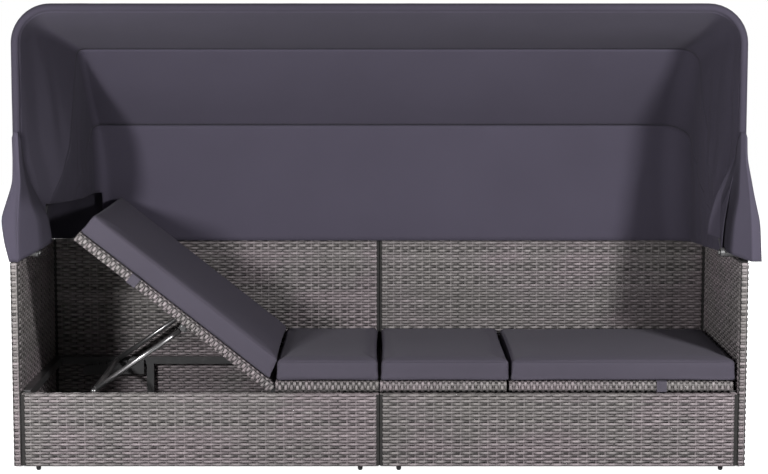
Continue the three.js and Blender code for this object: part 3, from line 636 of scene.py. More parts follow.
def weave_tree():
    """Strands in closed rows round a panel, over and under upright ribs, and along its top"""
    g = Geometry("Woven Panel")
    named = [g.size(name, default) for name, default in WEAVE_SIZES.items()]
    width, thick, height, pitch, strand_width, strand_thick, depth, corner, core_reach = named
    named = [g.size(name, default, "NodeSocketInt") for name, default in WEAVE_COUNTS.items()]
    ribs, cap_ribs, seed = named

    inset = depth + strand_thick * 0.5
    inner_width, inner_thick, inner_height = (s - inset * 2.0 for s in (width, thick, height))
    outline = g.geo(
        "CurvePrimitiveQuadrilateral", {0: inner_width, 1: inner_thick}, {"mode": "RECTANGLE"}
    )
    rounding = {0: outline, "Count": 3, "Radius": corner, "Limit Radius": True}
    outline = g.geo("FilletCurve", rounding, {"mode": "POLY"})
    up = (0.0, 0.0, 1.0)
    position = g.geo("InputPosition")
    aside = g.vectors("CROSS_PRODUCT", g.geo("InputTangent"), up)
    facing = g.vectors("DOT_PRODUCT", aside, position, 1, "Value")
    away = g.vectors("SCALE", aside, facing.maths("SIGN"), "Scale")
    index = g.geo("InputIndex")
    wave = (index * (math.pi / 2) + math.pi / 4).maths("COSINE") * math.sqrt(2)
    profile = g.geo(
        "CurvePrimitiveQuadrilateral",
        {
            "Bottom Width": strand_width,
            "Top Width": strand_width * STRAND_TOP,
            "Height": strand_thick,
            "Offset": 0.0,
        },
        {"mode": "TRAPEZOID"},
    )

    def strand(path, settled, turned, over):
        """A flat strand along a path, with one wave over and under every two ribs"""
        moved = g.geo("SetPosition", {"Geometry": path, "Offset": settled})
        # how far the strand stands over a rib, which the weave's finish turns into painted shade and painted
        # highlight
        moved = g.store(moved, "over", over, "FLOAT", "POINT")
        moved = g.geo("SetCurveNormal", {0: moved}, {"mode": "Z_UP"})
        section = g.geo("Transform", {0: profile, "Rotation": (0.0, 0.0, turned)})
        mesh = g.geo("CurveToMesh", {"Curve": moved, "Profile Curve": section})
        return g.geo("SetShadeSmooth", {"Geometry": mesh})

    def rows(points, pair, spread):
        """Copies of two strands in turn on a line of points, each with its own tone"""
        which = index.maths("MODULO", 2.0)
        inputs = {
            "Points": points,
            "Instance": g.joined(pair, "GeometryToInstance"),
            "Pick Instance": True,
            "Instance Index": which,
        }
        copies = g.geo("InstanceOnPoints", inputs)
        return g.store(copies, "strand", g.tone(0.1, 1.0, index + spread, seed), "FLOAT", "INSTANCE")

    around = g.resampled(outline, ribs * 2.0)
    loops = []
    for sign in (1.0, -1.0):
        offset = g.vectors("SCALE", away, wave * depth * sign, "Scale")
        loops.append(strand(around, offset, math.pi / 2, wave * sign))
    row_count = (height / pitch).maths("FLOOR")
    first_row = (height - (row_count - 1.0) * pitch) * 0.5 - height * 0.5
    places = g.line(row_count, g.vector(0.0, 0.0, first_row), g.vector(0.0, 0.0, pitch))
    wall = rows(places, loops, 0)

    rib_points = g.geo(
        "CurveToPoints", {0: g.resampled(outline, ribs)}, {"mode": "EVALUATED"}, None
    )
    rib_out = g.vectors("CROSS_PRODUCT", rib_points.outputs["Tangent"], up)
    rib = g.box(strand_width * 0.5, strand_thick * 0.9, inner_height)
    turn = g.node(
        "FunctionNodeAlignRotationToVector", {"axis": "Y", "pivot_axis": "Z"}, {"Vector": rib_out}
    )
    inputs = {"Points": rib_points.outputs[0], "Instance": rib, "Rotation": turn}
    uprights = g.geo("InstanceOnPoints", inputs)
    uprights = g.store(uprights, "strand", g.tone(0.4, 0.8, index, seed), "FLOAT", "INSTANCE")
    # marks the ribs for the darkest painted shade of the weave
    uprights = g.store(uprights, "over", RIB_MARK, "FLOAT", "INSTANCE")

    half = inner_width * 0.5
    inputs = {"Start": g.vector(half * -1.0, 0.0, 0.0), "End": g.vector(half, 0.0, 0.0)}
    straight = g.geo("CurvePrimitiveLine", inputs, {"mode": "POINTS"})
    straight = g.resampled(straight, cap_ribs * 2.0 + 1.0)
    caps = []
    for sign in (1.0, -1.0):
        offset = g.vector(0.0, 0.0, wave * depth * sign)
        caps.append(strand(straight, offset, 0.0, wave * sign))
    start = g.vector(0.0, pitch * -1.0, height * 0.5 - inset)
    top = rows(g.line(CAP_STRANDS, start, g.vector(0.0, pitch, 0.0)), caps, CAP_SPREAD)

    thinner = strand_thick * 1.6
    core = g.box(
        inner_width - thinner + core_reach * 2.0, inner_thick - thinner, inner_height - thinner
    )
    # the core is painted nearly black, as painted shade in the gaps
    core = g.painted(core, "panel_core")
    woven = g.painted(g.joined([wall, uprights, top]), "resin_weave")
    whole = g.geo("RealizeInstances", {0: g.joined([core, woven])})
    tone = g.geo("InputNamedAttribute", {"Name": "strand"}, {"data_type": "FLOAT"})
    whole = g.painted(whole, "resin_weave", tone.maths("GREATER_THAN", 0.05))
    whole = g.store(whole, "lay", position, "FLOAT_VECTOR", "POINT")
    g.node("NodeGroupOutput", None, {0: whole}, None)
    return g


# The ribs' pitch on each kind of panel, as a share of the common one
RIB_SHARES = {"arm": 1.0, "apron": 1.07, "back": 0.93, "seat": 0.55, "backrest": 0.55}
# Which axes of the daybed a panel's rows, thickness and ribs follow
PANEL_AXES = {"arm": (1, 0, 2), "back": (0, 1, 2), "apron": (0, 1, 2), "seat": (1, 2, 0)}
LIFT_PANEL_START = -0.010  # where a lifting panel's cover begins, from the pin


def woven_panel(tree, part, side, size, place, seed):
    """A woven panel as a plain mesh. Size is along the rows, through and along the ribs."""
    name = f"{part}_weave_{side}"
    settings = bpy.context.scene.daybed_weave
    rib_pitch = settings.rib_pitch * RIB_SHARES[part]
    values = {"Width": size[0], "Thickness": size[1], "Height": size[2], "Seed": seed}
    values["Rib Count"] = 2 * round((size[0] + size[1]) / rib_pitch)
    values["Cap Rib Count"] = 2 * round(size[0] / rib_pitch / 2)
    values["Core Reach"] = settings.core_reach if part in ("back", "apron") else 0.0
    for key in ("row_pitch", "strand_width", "strand_thickness", "weave_depth", "corner_radius"):
        values[key.replace("_", " ").title()] = getattr(settings, key)
    base = new_object(name + "_base", bpy.data.meshes.new(name + "_base"))
    modifier = base.modifiers.new("weave", "NODES")
    modifier.node_group = tree.tree
    for key, value in values.items():
        modifier[tree.sockets[key]] = value
    mesh = evaluated_mesh(base)
    bpy.data.objects.remove(base)
    mesh.name = name
    mesh.transform(place)
    return new_piece(name, mesh)


def box_place(low, high, order):
    """The matrix that puts a panel, drawn round its own middle, into a box of the frame"""
    middle = (Vector(low) + Vector(high)) / 2
    columns = [Vector([1 if i == axis else 0 for i in range(3)]) for axis in order]
    turn = Matrix(columns).transposed()
    if turn.determinant() < 0:
        turn.col[1] = -turn.col[1]
    return Matrix.Translation(middle) @ turn.to_4x4()


def lift_place(side):
    """The matrix from a lifting panel's own axes to the daybed: along, across and up, from its pin"""
    sign = SIDES[side]
    turn = math.radians(REST_ANGLE[side])
    along = Vector((sign * math.cos(turn), 0, math.sin(turn)))
    up = Vector((-sign * math.sin(turn), 0, math.cos(turn)))
    matrix = Matrix((along, up.cross(along), up)).transposed().to_4x4()
    return Matrix.Translation((sign * PIN[side], 0, SEAT_MIDDLE)) @ matrix


class DAYBED_OT_weave(bpy.types.Operator):
    """Weave the arms, backs, aprons and seat panels"""

    bl_idname = "daybed.weave"
    bl_label = "Woven Panels"

    def execute(self, context):
        tree = weave_tree()
        seed = 1
        rear = SEAT_HIGH[1] - LIFT_REAR_GAP
        turn = Matrix(((0, 0, 1), (1, 0, 0), (0, 1, 0))).to_4x4()
        for side, sign in SIDES.items():
            for part, order in PANEL_AXES.items():
                seed += 1
                low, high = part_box(f"{part}_cover_{side}")
                size = [high[axis] - low[axis] for axis in order]
                piece = woven_panel(tree, part, side, size, box_place(low, high, order), seed)
                dress(piece, "frame", f"{part}_cover_{side}")
            seed += 1
            length = PANEL_LENGTH[side] - LIFT_PANEL_START
            size = (rear - SEAT_LOW[1], SEAT_THICKNESS, length)
            middle = (LIFT_PANEL_START + length / 2, (rear + SEAT_LOW[1]) / 2 * sign, 0)
            place = lift_place(side) @ Matrix.Translation(middle) @ turn
            piece = woven_panel(tree, "backrest", side, size, place, seed)
            dress(piece, f"backrest_{side}", f"backrest_cover_{side}")
        return {"FINISHED"}


# Cushions

CUSHION_FRONT = -0.3015
CUSHION_REAR = 0.276
CUSHION_WIDTH = CUSHION_REAR - CUSHION_FRONT
CUSHION_MIDDLE = (CUSHION_FRONT + CUSHION_REAR) / 2
INNER_END = 0.0015
OUTER_END = {"left": 0.2895, "right": 0.3630}
# A lifting cushion's start from the pin, how far it runs past its panel, how far its lower end
# slants and how much thicker it is than a fixed one
LIFT_CUSHIONS = {"left": (0.010, 0.002, 0.018, 0.004), "right": (-0.0060, 0.008, 0.002, 0.0)}
PAD_PITCH = 0.02
VOXEL = 0.006
HELD_HEIGHT = 0.006  # below this the underside is held while air fills the cushion
AIR_STEPS = 20
AIR = {
    "quality": 5,
    "mass": 0.2,
    "tension_stiffness": 18,
    "compression_stiffness": 18,
    "shear_stiffness": 6,
    "bending_stiffness": 0.6,
    "use_pressure": True,
    "uniform_pressure_force": 4,
}
WELT_INSET = 0.32  # the welt's place on the rounded edge, as a share of its radius
WELT_BEND = 0.8  # the welt's bend at a corner, as a share of the edge's radius


def spaced(half, radius):
    """Places from one end to the other, close together round the edges"""
    edge = [radius * (1 - math.cos(math.pi / 2 * i / 3)) for i in range(4)]
    inside = half - radius
    count = max(2, round(2 * inside / PAD_PITCH))
    middle = [-inside + 2 * inside * i / count for i in range(1, count)]
    return [-half + e for e in edge] + middle + [half - e for e in reversed(edge)]


def box_faces(grid):
    """The points and faces of a box whose sides are divided by a grid"""
    index = {}
    points = []
    faces = []
    for axis in range(3):
        a, b = [n for n in range(3) if n != axis]
        for end in (0, len(grid[axis]) - 1):
            for i in range(len(grid[a]) - 1):
                for j in range(len(grid[b]) - 1):
                    ring = []
                    for di, dj in ((0, 0), (1, 0), (1, 1), (0, 1)):
                        key = [0, 0, 0]
                        key[axis], key[a], key[b] = end, i + di, j + dj
                        key = tuple(key)
                        if key not in index:
                            index[key] = len(points)
                            points.append([line[k] for line, k in zip(grid, key)])
                        ring.append(index[key])
                    if (end == 0) == (axis != 1):
                        ring.reverse()
                    faces.append(ring)
    return np.array(points), faces


def padded_box(name, length, width, thick, crown, radius, slant):
    """A boxed cushion: along from 0, across about 0 and up from 0, crowned, with soft edges"""
    halves = np.array((length, width, thick)) / 2
    radii = np.array((radius * 0.42, radius, radius))
    places, faces = box_faces([spaced(h, r) for h, r in zip(halves, radii)])
    inner = np.clip(places, radii - halves, halves - radii)
    out = (places - inner) / radii
    places = inner + out / np.maximum(np.linalg.norm(out, axis=1, keepdims=True), 1e-9) * radii
    share = places / halves
    along = np.clip(1 - share[:, 0] ** 2, 0, 1)
    across = np.clip(1 - share[:, 1] ** 2, 0, 1)
    rise = np.clip(share[:, 2], 0, 1)
    places[:, 2] += crown * (along * across) ** 0.4 * rise
    # The sides are drawn in a little between the corners
    places[:, 1] -= np.sign(places[:, 1]) * 0.004 * along * np.abs(share[:, 1]) ** 6
    places[:, 0] -= np.sign(places[:, 0]) * 0.003 * across * np.abs(share[:, 0]) ** 6
    near = np.clip(1 - (places[:, 0] + halves[0]) / 0.12, 0, 1)
    places[:, 0] += slant * near * np.clip(share[:, 2] * 0.5 + 0.5, 0, 1)
    places += np.array((halves[0], 0, halves[2]))
    return mesh_from(name, places, faces)


def swell(piece, cap):
    """Remesh a pad and let air pressure round it, with its underside held"""
    scene = bpy.context.scene
    pad = piece.copy()
    pad.data = piece.data.copy()
    scene.collection.objects.link(pad)
    remesh = pad.modifiers.new("even", "REMESH")
    remesh.mode = "VOXEL"
    remesh.voxel_size = VOXEL
    remesh.use_smooth_shade = True
    mesh = evaluated_mesh(pad)
    pad.modifiers.clear()
    pad.data = mesh
    start = points_of(mesh)
    held = pad.vertex_groups.new(name="held")
    held.add([int(i) for i in np.flatnonzero(start[:, 2] < HELD_HEIGHT)], 1.0, "REPLACE")
    cloth = pad.modifiers.new("air", "CLOTH")
    for key, value in AIR.items():
        setattr(cloth.settings, key, value)
    cloth.settings.effector_weights.gravity = 0
    cloth.settings.vertex_group_mass = "held"
    cloth.collision_settings.use_collision = False
    for step in range(1, AIR_STEPS + 1):
        scene.frame_set(step)
    shown = pad.evaluated_get(bpy.context.evaluated_depsgraph_get())
    move = points_of(shown.to_mesh()) - start
    scene.frame_set(1)
    pad.modifiers.clear()
    pad.vertex_groups.clear()
    far = np.linalg.norm(move, axis=1, keepdims=True)
    move *= np.minimum(1, cap / np.maximum(far, 1e-9))
    set_points(mesh, start + move)
    bpy.data.objects.remove(piece)
    return pad


def softened(path):
    """A closed path with each point drawn towards its neighbours"""
    return [(path[i - 1] + 2 * p + path[(i + 1) % len(path)]) / 4 for i, p in enumerate(path)]


def seam_ring(surface, corners, radius):
    """A fine welt that follows a cushion's surface round a loop of corners"""
    flat = [p.vertices for p in surface.polygons]
    tree = BVHTree.FromPolygons([v.co for v in surface.vertices], flat)
    path = []
    for start, end in zip(corners, corners[1:] + corners[:1]):
        steps = max(1, round((end - start).length / 0.008))
        path += [tree.find_nearest(start.lerp(end, i / steps))[0] for i in range(steps)]
    return tube_mesh("welt", softened(softened(path)), radius, 6, closed=True)


def cushion(name, length, width, thick, slant, matrix):
    """A boxed cushion with a welt round its upper and lower edges, put in place by a matrix"""
    settings = bpy.context.scene.daybed_cushions
    radius = settings.edge_radius
    mesh = padded_box(name, length, width, thick, settings.crown, radius, slant)
    piece = swell(new_piece(name, mesh), settings.swell_limit)
    fine = piece.modifiers.new("fine", "SUBSURF")
    fine.levels = fine.render_levels = 1
    mesh = evaluated_mesh(piece)
    bpy.data.objects.remove(piece)
    mesh.name = name
    mesh.materials.clear()
    carry_lay(mesh, points_of(mesh))
    parts = [new_piece(name, mesh, "cushion_cloth")]
    edge = radius * WELT_INSET
    bend = radius * WELT_BEND
    y = width / 2 - edge - bend
    for height in (thick - edge, edge):
        x0 = slant * height / thick + edge + bend
        x1 = length - edge - bend
        corners = []
        for cx, cy, start in ((x1, y, 0), (x0, y, 90), (x0, -y, 180), (x1, -y, 270)):
            for k in range(5):
                turn = math.radians(start + 22.5 * k)
                x, across = cx + bend * math.cos(turn), cy + bend * math.sin(turn)
                corners.append(Vector((x, across, height)))
        welt = seam_ring(mesh, corners, settings.welt_radius)
        parts.append(new_piece(name + "_welt", welt, "cushion_seam"))
    piece = merged(name, parts)
    piece.data.transform(matrix)
    piece.data.polygons.foreach_set("use_smooth", [True] * len(piece.data.polygons))
    return piece


class DAYBED_OT_cushions(bpy.types.Operator):
    """Make the two fixed and the two lifting cushions"""

    bl_idname = "daybed.cushions"
    bl_label = "Cushions"

    def execute(self, context):
        thickness = context.scene.daybed_cushions.thickness
        for side, sign in SIDES.items():
            turn = Matrix.Diagonal((sign, sign, 1, 1))
            corner = (sign * INNER_END, CUSHION_MIDDLE, SEAT_TOP + 0.0004)
            place = Matrix.Translation(corner) @ turn
            length = OUTER_END[side] - INNER_END
            piece = cushion(f"fixed_cushion_{side}", length, CUSHION_WIDTH, thickness, 0.0, place)
            dress(piece, "frame", f"seat_cushion_{side}")
        for side, sign in SIDES.items():
            start, past, slant, more = LIFT_CUSHIONS[side]
            length = PANEL_LENGTH[side] + past - start
            middle = (CUSHION_MIDDLE - LIFT_REAR_GAP / 2) * sign
            shift = Matrix.Translation((start, middle, SEAT_THICKNESS / 2 + 0.0005))
            size = (length, CUSHION_WIDTH - LIFT_REAR_GAP, thickness + more)
            piece = cushion(f"lift_cushion_{side}", *size, slant, lift_place(side) @ shift)
            dress(piece, f"backrest_{side}", f"backrest_cushion_{side}")
            if side == "right":
                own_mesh(piece)
        return {"FINISHED"}


STRAP_FROM_END = 0.200  # from a lifting panel's upper end
STRAP_FRONT = -0.308
STRAP_REACH = 0.042  # how far a strap runs over and under the panel
STRAP_OFF = 0.0009  # its middle's distance from the panel
# Its section: across, and how far inside its middle
STRAP_SECTION = ((-0.014, -0.0006), (-0.0132, 0.0006), (0.0132, 0.0006), (0.014, -0.0006))


class DAYBED_OT_straps(bpy.types.Operator):
    """Make the straps that hold the lifting cushions to their panels"""

    bl_idname = "daybed.straps"
    bl_label = "Cushion Straps"

    def execute(self, context):
        high = SEAT_THICKNESS / 2 + STRAP_OFF
        end = STRAP_FRONT + STRAP_REACH
        fold = STRAP_FRONT - STRAP_OFF
        corners = [(0.0, end, high), (0.0, fold, high), (0.0, fold, -high), (0.0, end, -high)]
        path = rounded_path(corners, 0.004, 5)
        for side, sign in SIDES.items():
            along = PANEL_LENGTH[side] - STRAP_FROM_END
            points = []
            lays = []
            for i, (point, run) in enumerate(zip(path, runs_along(path))):
                flow = (path[min(i + 1, len(path) - 1)] - path[max(i - 1, 0)]).normalized()
                normal = Vector((0, flow.z, -flow.y))
                for x, inside in STRAP_SECTION:
                    spot = point - normal * inside
                    points.append(Vector((along + x, spot.y * sign, spot.z)))
                    lays.append((x, run, 0.0))
            faces = ring_faces(len(path), len(STRAP_SECTION), False)
            mesh = mesh_from(f"cushion_band_{side}", points, faces, smooth=False)
            carry_lay(mesh, lays)
            mesh.transform(lift_place(side))
            piece = outward(new_piece(f"cushion_band_{side}", mesh, "ribbed_webbing"))
            dress(piece, f"backrest_{side}", f"cushion_strap_{side}")
        return {"FINISHED"}


# Steel parts

PROP_PIVOT = Vector((0.288, 0, -0.028))  # along, across and up from the pin of its panel
PROP_LENGTH = 0.307
PROP_SLOPE = 1.1  # below the level, with the panel flat
PROP_TURN = 0.875  # how much steeper a leg grows for each degree of its panel
PROP_RADIUS = 0.0075
PROP_LEGS = (-0.255, 0.235)
PROP_BAR = (-0.2823, -0.2815, -0.2, 0.15, 0.2595, 0.2603)
# Radius and place along the pin of each ring of an eye
EYE_RINGS = (
    (0.0088, 0.0055),
    (0.0092, 0.0047),
    (0.0092, -0.0047),
    (0.0088, -0.0055),
    (0.0045, -0.0055),
    (0.0045, 0.0055),
)


def ring(centre, first, second, radius, count):
    """A ring of points round a centre, in the plane of two directions"""
    turns = [2 * math.pi * i / count for i in range(count)]
    return [centre + (first * math.cos(t) + second * math.sin(t)) * radius for t in turns]


def eye_mesh(centre, way, sides=24):
    """The flattened end of a prop's leg, with its hole round the pin"""
    up = Vector((0, 1, 0)).cross(way)
    points = []
    for radius, offset in EYE_RINGS:
        points += ring(centre + Vector((0, offset, 0)), way, up, radius, sides)
    mesh = mesh_from("eye", points, ring_faces(len(EYE_RINGS), sides, True))
    carry_lay(mesh, [(0, 0, 0)] * len(points))
    return mesh


class DAYBED_OT_props(bpy.types.Operator):
    """Make the round-bar props under the lifting panels"""

    bl_idname = "daybed.props"
    bl_label = "Backrest Props"

    def execute(self, context):
        across = Vector((0, 1, 0))
        for side, sign in SIDES.items():
            pivot = lift_place(side) @ PROP_PIVOT
            slope = math.radians(PROP_SLOPE + PROP_TURN * REST_ANGLE[side])
            way = Vector((sign * math.cos(slope), 0, -math.sin(slope)))
            foot = pivot + way * PROP_LENGTH
            parts = []
            for y in PROP_LEGS:
                top = pivot + across * y
                path = [top + way * 0.012, top + way * 0.15, foot + across * y + way * 0.001]
                leg = tube_mesh("leg", path, PROP_RADIUS, 20)
                parts.append(new_piece("leg", leg, "polished_bar"))
                parts.append(new_piece("eye", eye_mesh(top, way), "painted_steel"))
            bar = tube_mesh("bar", [foot + across * y for y in PROP_BAR], PROP_RADIUS, 20)
            parts.append(new_piece("bar", bar, "polished_bar"))
            for y in PROP_LEGS:
                centre = foot + across * y - way * 0.0065
                path = ring(centre, across, way.cross(across), 0.0082, 20)
                weld = tube_mesh("weld", path, 0.0016, 8, True)
                parts.append(new_piece("weld", weld, "painted_steel"))
            piece = merged(f"prop_bar_{side}", parts)
            dress(piece, f"prop_{side}", f"prop_{side}")
        return {"FINISHED"}


SLOT_LOOKS = {
    "frame_steel": "painted_steel",
    "zinc_plate": "zinc_plate",
    "glide_plastic": "moulded_plastic",
    "wicker": "resin_weave",
    "cushion_cloth": "cushion_cloth",
    "canopy_cloth": "canopy_cloth",
    "webbing": "ribbed_webbing",
}


class DAYBED_OT_steel(bpy.types.Operator):
    """Give the frame's own pieces their finishes"""

    bl_idname = "daybed.steel"
    bl_label = "Frame Finishes"

    def execute(self, context):
        slots = {part["node"]: part["material_slot"] for part in frame["record"]["subparts"]}
        for node, piece in frame["nodes"].items():
            finish = look(SLOT_LOOKS[slots[node]])
            if not piece.material_slots:
                piece.data.materials.append(finish)
            for slot in piece.material_slots:
                slot.material = finish
        return {"FINISHED"}


# Canopy

CLOTH_OFF = TUBE + 0.0016  # the cloth's middle, from a hoop's centre line
FIRST_REACH = 0.012  # where the cloth begins, from the hubs' axis
# Where the lining's corners hang, left and right, and how round they are
CREASES = {
    "mid": ((0.880, 0.930), (0.020, 0.050)),
    "rear": ((0.868, 0.932), (0.026, 0.075)),
    "frame": ((0.863, 0.945), (0.040, 0.080)),
}
INNER_HUB = 0.952
OUTER_HUB = 1.0165
# Painted shade on the lining: how much darker it is on its walls, and on its roof by the angle where a
# section starts
WALL_PAINTED_SHADE = {"left": 0.48, "right": 0.24}
ROOF_PAINTED_SHADE = {0.0: 0.10, HOOPS["mid"]["angle"]: 0.11}
# Upright folds in the lining's walls: the place along the depth at the top and at the bottom, the
# heights where the fold starts and ends, its half-width and how far it stands out
FOLDS = {
    "left": [
        (-0.205, -0.190, 1.26, 0.66, 0.055, 0.006),
        (-0.120, -0.130, 1.20, 0.66, 0.030, 0.004),
        (0.020, -0.020, 1.12, 0.66, 0.045, -0.006),
        (0.150, 0.130, 0.99, 0.70, 0.040, 0.005),
    ],
    "right": [
        (-0.215, -0.222, 1.25, 0.60, 0.022, 0.008),
        (-0.120, -0.175, 1.20, 0.60, 0.035, -0.006),
        (-0.060, -0.130, 1.12, 0.60, 0.030, 0.008),
        (0.020, -0.060, 1.06, 0.60, 0.035, -0.006),
        (0.110, 0.060, 0.98, 0.62, 0.040, 0.006),
    ],
}
FLUTTER_PLACE = {"left": 3.1, "right": 7.7}
# The lining's left wall ends at this height behind this depth
TRIM_HEIGHT = 0.736
TRIM_DEPTH = -0.215
TRIM_SLOPE = 0.02
# Each section's node and the hoops that it is stretched between
SECTIONS = {
    "roof": ("canopy_roof", "front", "mid"),
    "upper": ("canopy_upper_back", "mid", "rear"),
    "lower": ("canopy_lower_back", "rear", "frame"),
}
# How far the lower section is set backwards, so that a raised seat panel has room
LOWER_ROOM = {"lining": 0.019, "cover": 0.010}
# How many degrees past the back panel's rail the lower section ends
LAST_ANGLE = {"lining": 0.9, "cover": 0.35}


def smooth(low, high, value):
    """0 below one value, 1 above another and an even change between them"""
    share = min(max((value - low) / (high - low), 0.0), 1.0)
    return share * share * (3 - 2 * share)


def fan_point(angle, across, reach):
    """A point on the plane of a hoop at an angle behind the upright"""
    turn = math.radians(angle)
    return Vector((across, HUB_Y + reach * math.sin(turn), HUB_Z + reach * math.cos(turn)))


def side_track(length, half, corner, first, counts, hub=None):
    """Stops from the right hub up to the bar's middle: across, reach and the way out"""
    legs, corners, bars = counts
    stops = []
    for i in range(legs):
        reach = first + (length - corner - first) * i / legs
        across = half if hub is None else hub + (half - hub) * smooth(0.0, 0.34, reach)
        stops.append((across, reach, 1.0, 0.0))
    for i in range(corners):
        turn = math.pi / 2 * i / corners
        out = (math.cos(turn), math.sin(turn))
        place = (half - corner + corner * out[0], length - corner + corner * out[1])
        stops.append((*place, *out))
    for i in range(bars // 2):
        stops.append(((half - corner) * (1 - 2 * i / bars), length, 0.0, 1.0))
    return stops


def whole_track(left, right, length):
    """Stops from the left hub round to the right hub, from those of both sides"""
    left = [(-x, r, -ox, oz) for x, r, ox, oz in left]
    return left + [(0.0, length, 0.0, 1.0)] + right[::-1]


def hoop_track(name, first, off, counts):
    """Stops along a hoop, at a distance from its centre line"""
    length, half, corner = (HOOPS[name][key] + off for key in ("length", "half", "corner"))
    side = side_track(length, half, corner, first, counts)
    return whole_track(side, side, length)


def wall_move(side, y, z):
    """How far the folds of a lining's wall stand out at a depth and a height"""
    move = 0.0
    for y_top, y_bottom, z_top, z_bottom, wide, deep in FOLDS[side]:
        share = (z_top - z) / (z_top - z_bottom)
        middle = y_top + (y_bottom - y_top) * share + 0.006 * math.sin(21 * z + 9 * y_top)
        move -= deep * smooth(-0.2, 0.5, share) * max(0.0, 1 - abs(y - middle) / wide)
    return move + 0.004 * noise.noise(Vector((y * 9, z * 4, FLUTTER_PLACE[side])))


def lining_track(name, off, counts, roundings):
    """Stops along a hoop for the lining, whose walls hang straight down inside the hoop's legs"""
    hoop = HOOPS[name]
    length = hoop["length"] + off
    halves = CREASES[name][0] if name in CREASES else (hoop["half"] + off,) * 2
    sides = [
        side_track(length, half, corner, FIRST_REACH, counts, INNER_HUB)
        for half, corner in zip(halves, roundings)
    ]
    return whole_track(*sides, length)


def outer_track(name, off, counts):
    """Stops along a hoop for the outer cloth, which lies on the tube"""
    track = []
    for x, r, ox, oz in hoop_track(name, FIRST_REACH, off, counts):
        if abs(ox) == 1.0:
            hub = math.copysign(OUTER_HUB, x)
            x = hub + (x - hub) * smooth(0.10, 0.36, r)
        track.append((x, r, ox, oz))
    return track


def cloth_grid(start, end, angles, rows, sag, folds):
    """A grid of points from one track to the next, with the roof's sag and the walls' folds, and with the
    folds the painted shade at each point
    """
    grid = []
    painted_shade_values = []
    middle = sum(angles) / 2
    # painted shade on the roof where this section starts
    roof_painted_shade = ROOF_PAINTED_SHADE.get(angles[0], 0.0)
    for j in range(rows + 1):
        share = j / rows
        between = math.sin(math.pi * share)
        still = smooth(0.0, 0.08, share) if angles[0] == 0 else 1.0
        line = []
        for (xa, ra, ox, oz), (xb, rb, _, _) in zip(start(share), end(share)):
            point = fan_point(angles[0], xa, ra).lerp(fan_point(angles[1], xb, rb), share)
            inward = fan_point(middle, 0, -oz) - fan_point(middle, 0, 0)
            ripple = noise.noise(Vector((xa * 1.6, point.y * 4, point.z * 4)))
            point += inward * between * (1 - abs(ox)) * (sag + 0.005 * ripple)
            if folds:
                side = "left" if point.x < 0 else "right"
                upright = smooth(0.3, 1.0, abs(ox))
                # painted shade: the walls drawn darker than the roof
                painted_shade_values.append(roof_painted_shade + (WALL_PAINTED_SHADE[side] - roof_painted_shade) * upright)
                move = wall_move(side, point.y, point.z) * upright * still
                point.x += math.copysign(move, point.x)
            line.append(point)
        grid.append(line)
    return grid, painted_shade_values


def cut_left_wall(mesh):
    """Cut the lining's left wall off at a height, behind a depth"""
    build = bmesh.new()
    build.from_mesh(mesh)
    cuts = (
        ((0, 0, TRIM_HEIGHT), (0.0, TRIM_SLOPE, 1.0)),
        ((0, TRIM_DEPTH, 0), (0.0, 1.0, 0.0)),
    )
    for place, normal in cuts:
        whole = list(build.verts) + list(build.edges) + list(build.faces)
        bmesh.ops.bisect_plane(build, geom=whole, plane_co=place, plane_no=normal)
    gone = []
    for face in build.faces:
        middle = face.calc_center_median()
        under = (middle.z - TRIM_HEIGHT) + TRIM_SLOPE * middle.y < 0
        beside = middle.x < -0.79 and abs(face.normal.y) < 0.75
        if under and middle.y > TRIM_DEPTH and beside:
            gone.append(face)
    bmesh.ops.delete(build, geom=gone, context="FACES")
    build.to_mesh(mesh)
    build.free()


def sheet_piece(name, grid, thick, painted_shade_values=None, trimmed=False):
    """A thin closed sheet from a grid of points, with its lay measured along rows and columns"""
    rows, columns = len(grid), len(grid[0])
    faces = []
    for j in range(rows - 1):
        for i in range(columns - 1):
            a = j * columns + i
            faces.append((a, a + 1, a + columns + 1, a + columns))
    mesh = mesh_from(name, [p for line in grid for p in line], faces)
    runs = runs_along(grid[rows // 2])
    falls = runs_along([line[columns // 2] for line in grid])
    carry_lay(mesh, [(run, fall, 0.0) for fall in falls for run in runs])
    # painted shade, where given
    if painted_shade_values:
        carry_painted_shade(mesh, painted_shade_values)
    if trimmed:
        cut_left_wall(mesh)
    piece = new_piece(name, mesh, "canopy_cloth")
    shell = piece.modifiers.new("shell", "SOLIDIFY")
    shell.thickness = thick
    shell.offset = 0.0
    solid = evaluated_mesh(piece)
    piece.modifiers.clear()
    piece.data = solid
    solid.name = name
    return outward(piece)


def flat_size(grid):
    """The longest run along a sheet's rows and the longest along its columns"""
    return tuple(max(runs_along(line)[-1] for line in lines) for lines in (grid, zip(*grid)))


def cloth_area(piece):
    """One side's area of a thin closed sheet"""
    return sum(p.area for p in piece.data.polygons) / 2


def shade_inside(piece, amount):
    """Darken the side of the left wall that faces the seat, near the arm, where no light gets in"""
    painted_shade_values = np.zeros(len(piece.data.vertices))
    for vertex in piece.data.vertices:
        if vertex.co.x < -0.75 and vertex.normal.x - vertex.normal.y > 0.2:
            painted_shade_values[vertex.index] = amount * smooth(0.84, 0.76, vertex.co.z)
    carry_painted_shade(piece.data, painted_shade_values)


def leg_point(name):
    """The place on a hoop's plane at 0.7 of its length"""
    hoop = HOOPS[name]
    return tuple(fan_point(hoop["angle"], 0.0, hoop["length"] * 0.7))


def stretch(piece, grid, start, end):
    """Bake a section of cloth's place into its mesh; points on its two hoops and its flat size and area are
    worked out but not used
    """
    leg_point(end)
    leg_point(start)
    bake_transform(piece)
    flat, area = flat_size(grid), cloth_area(piece)


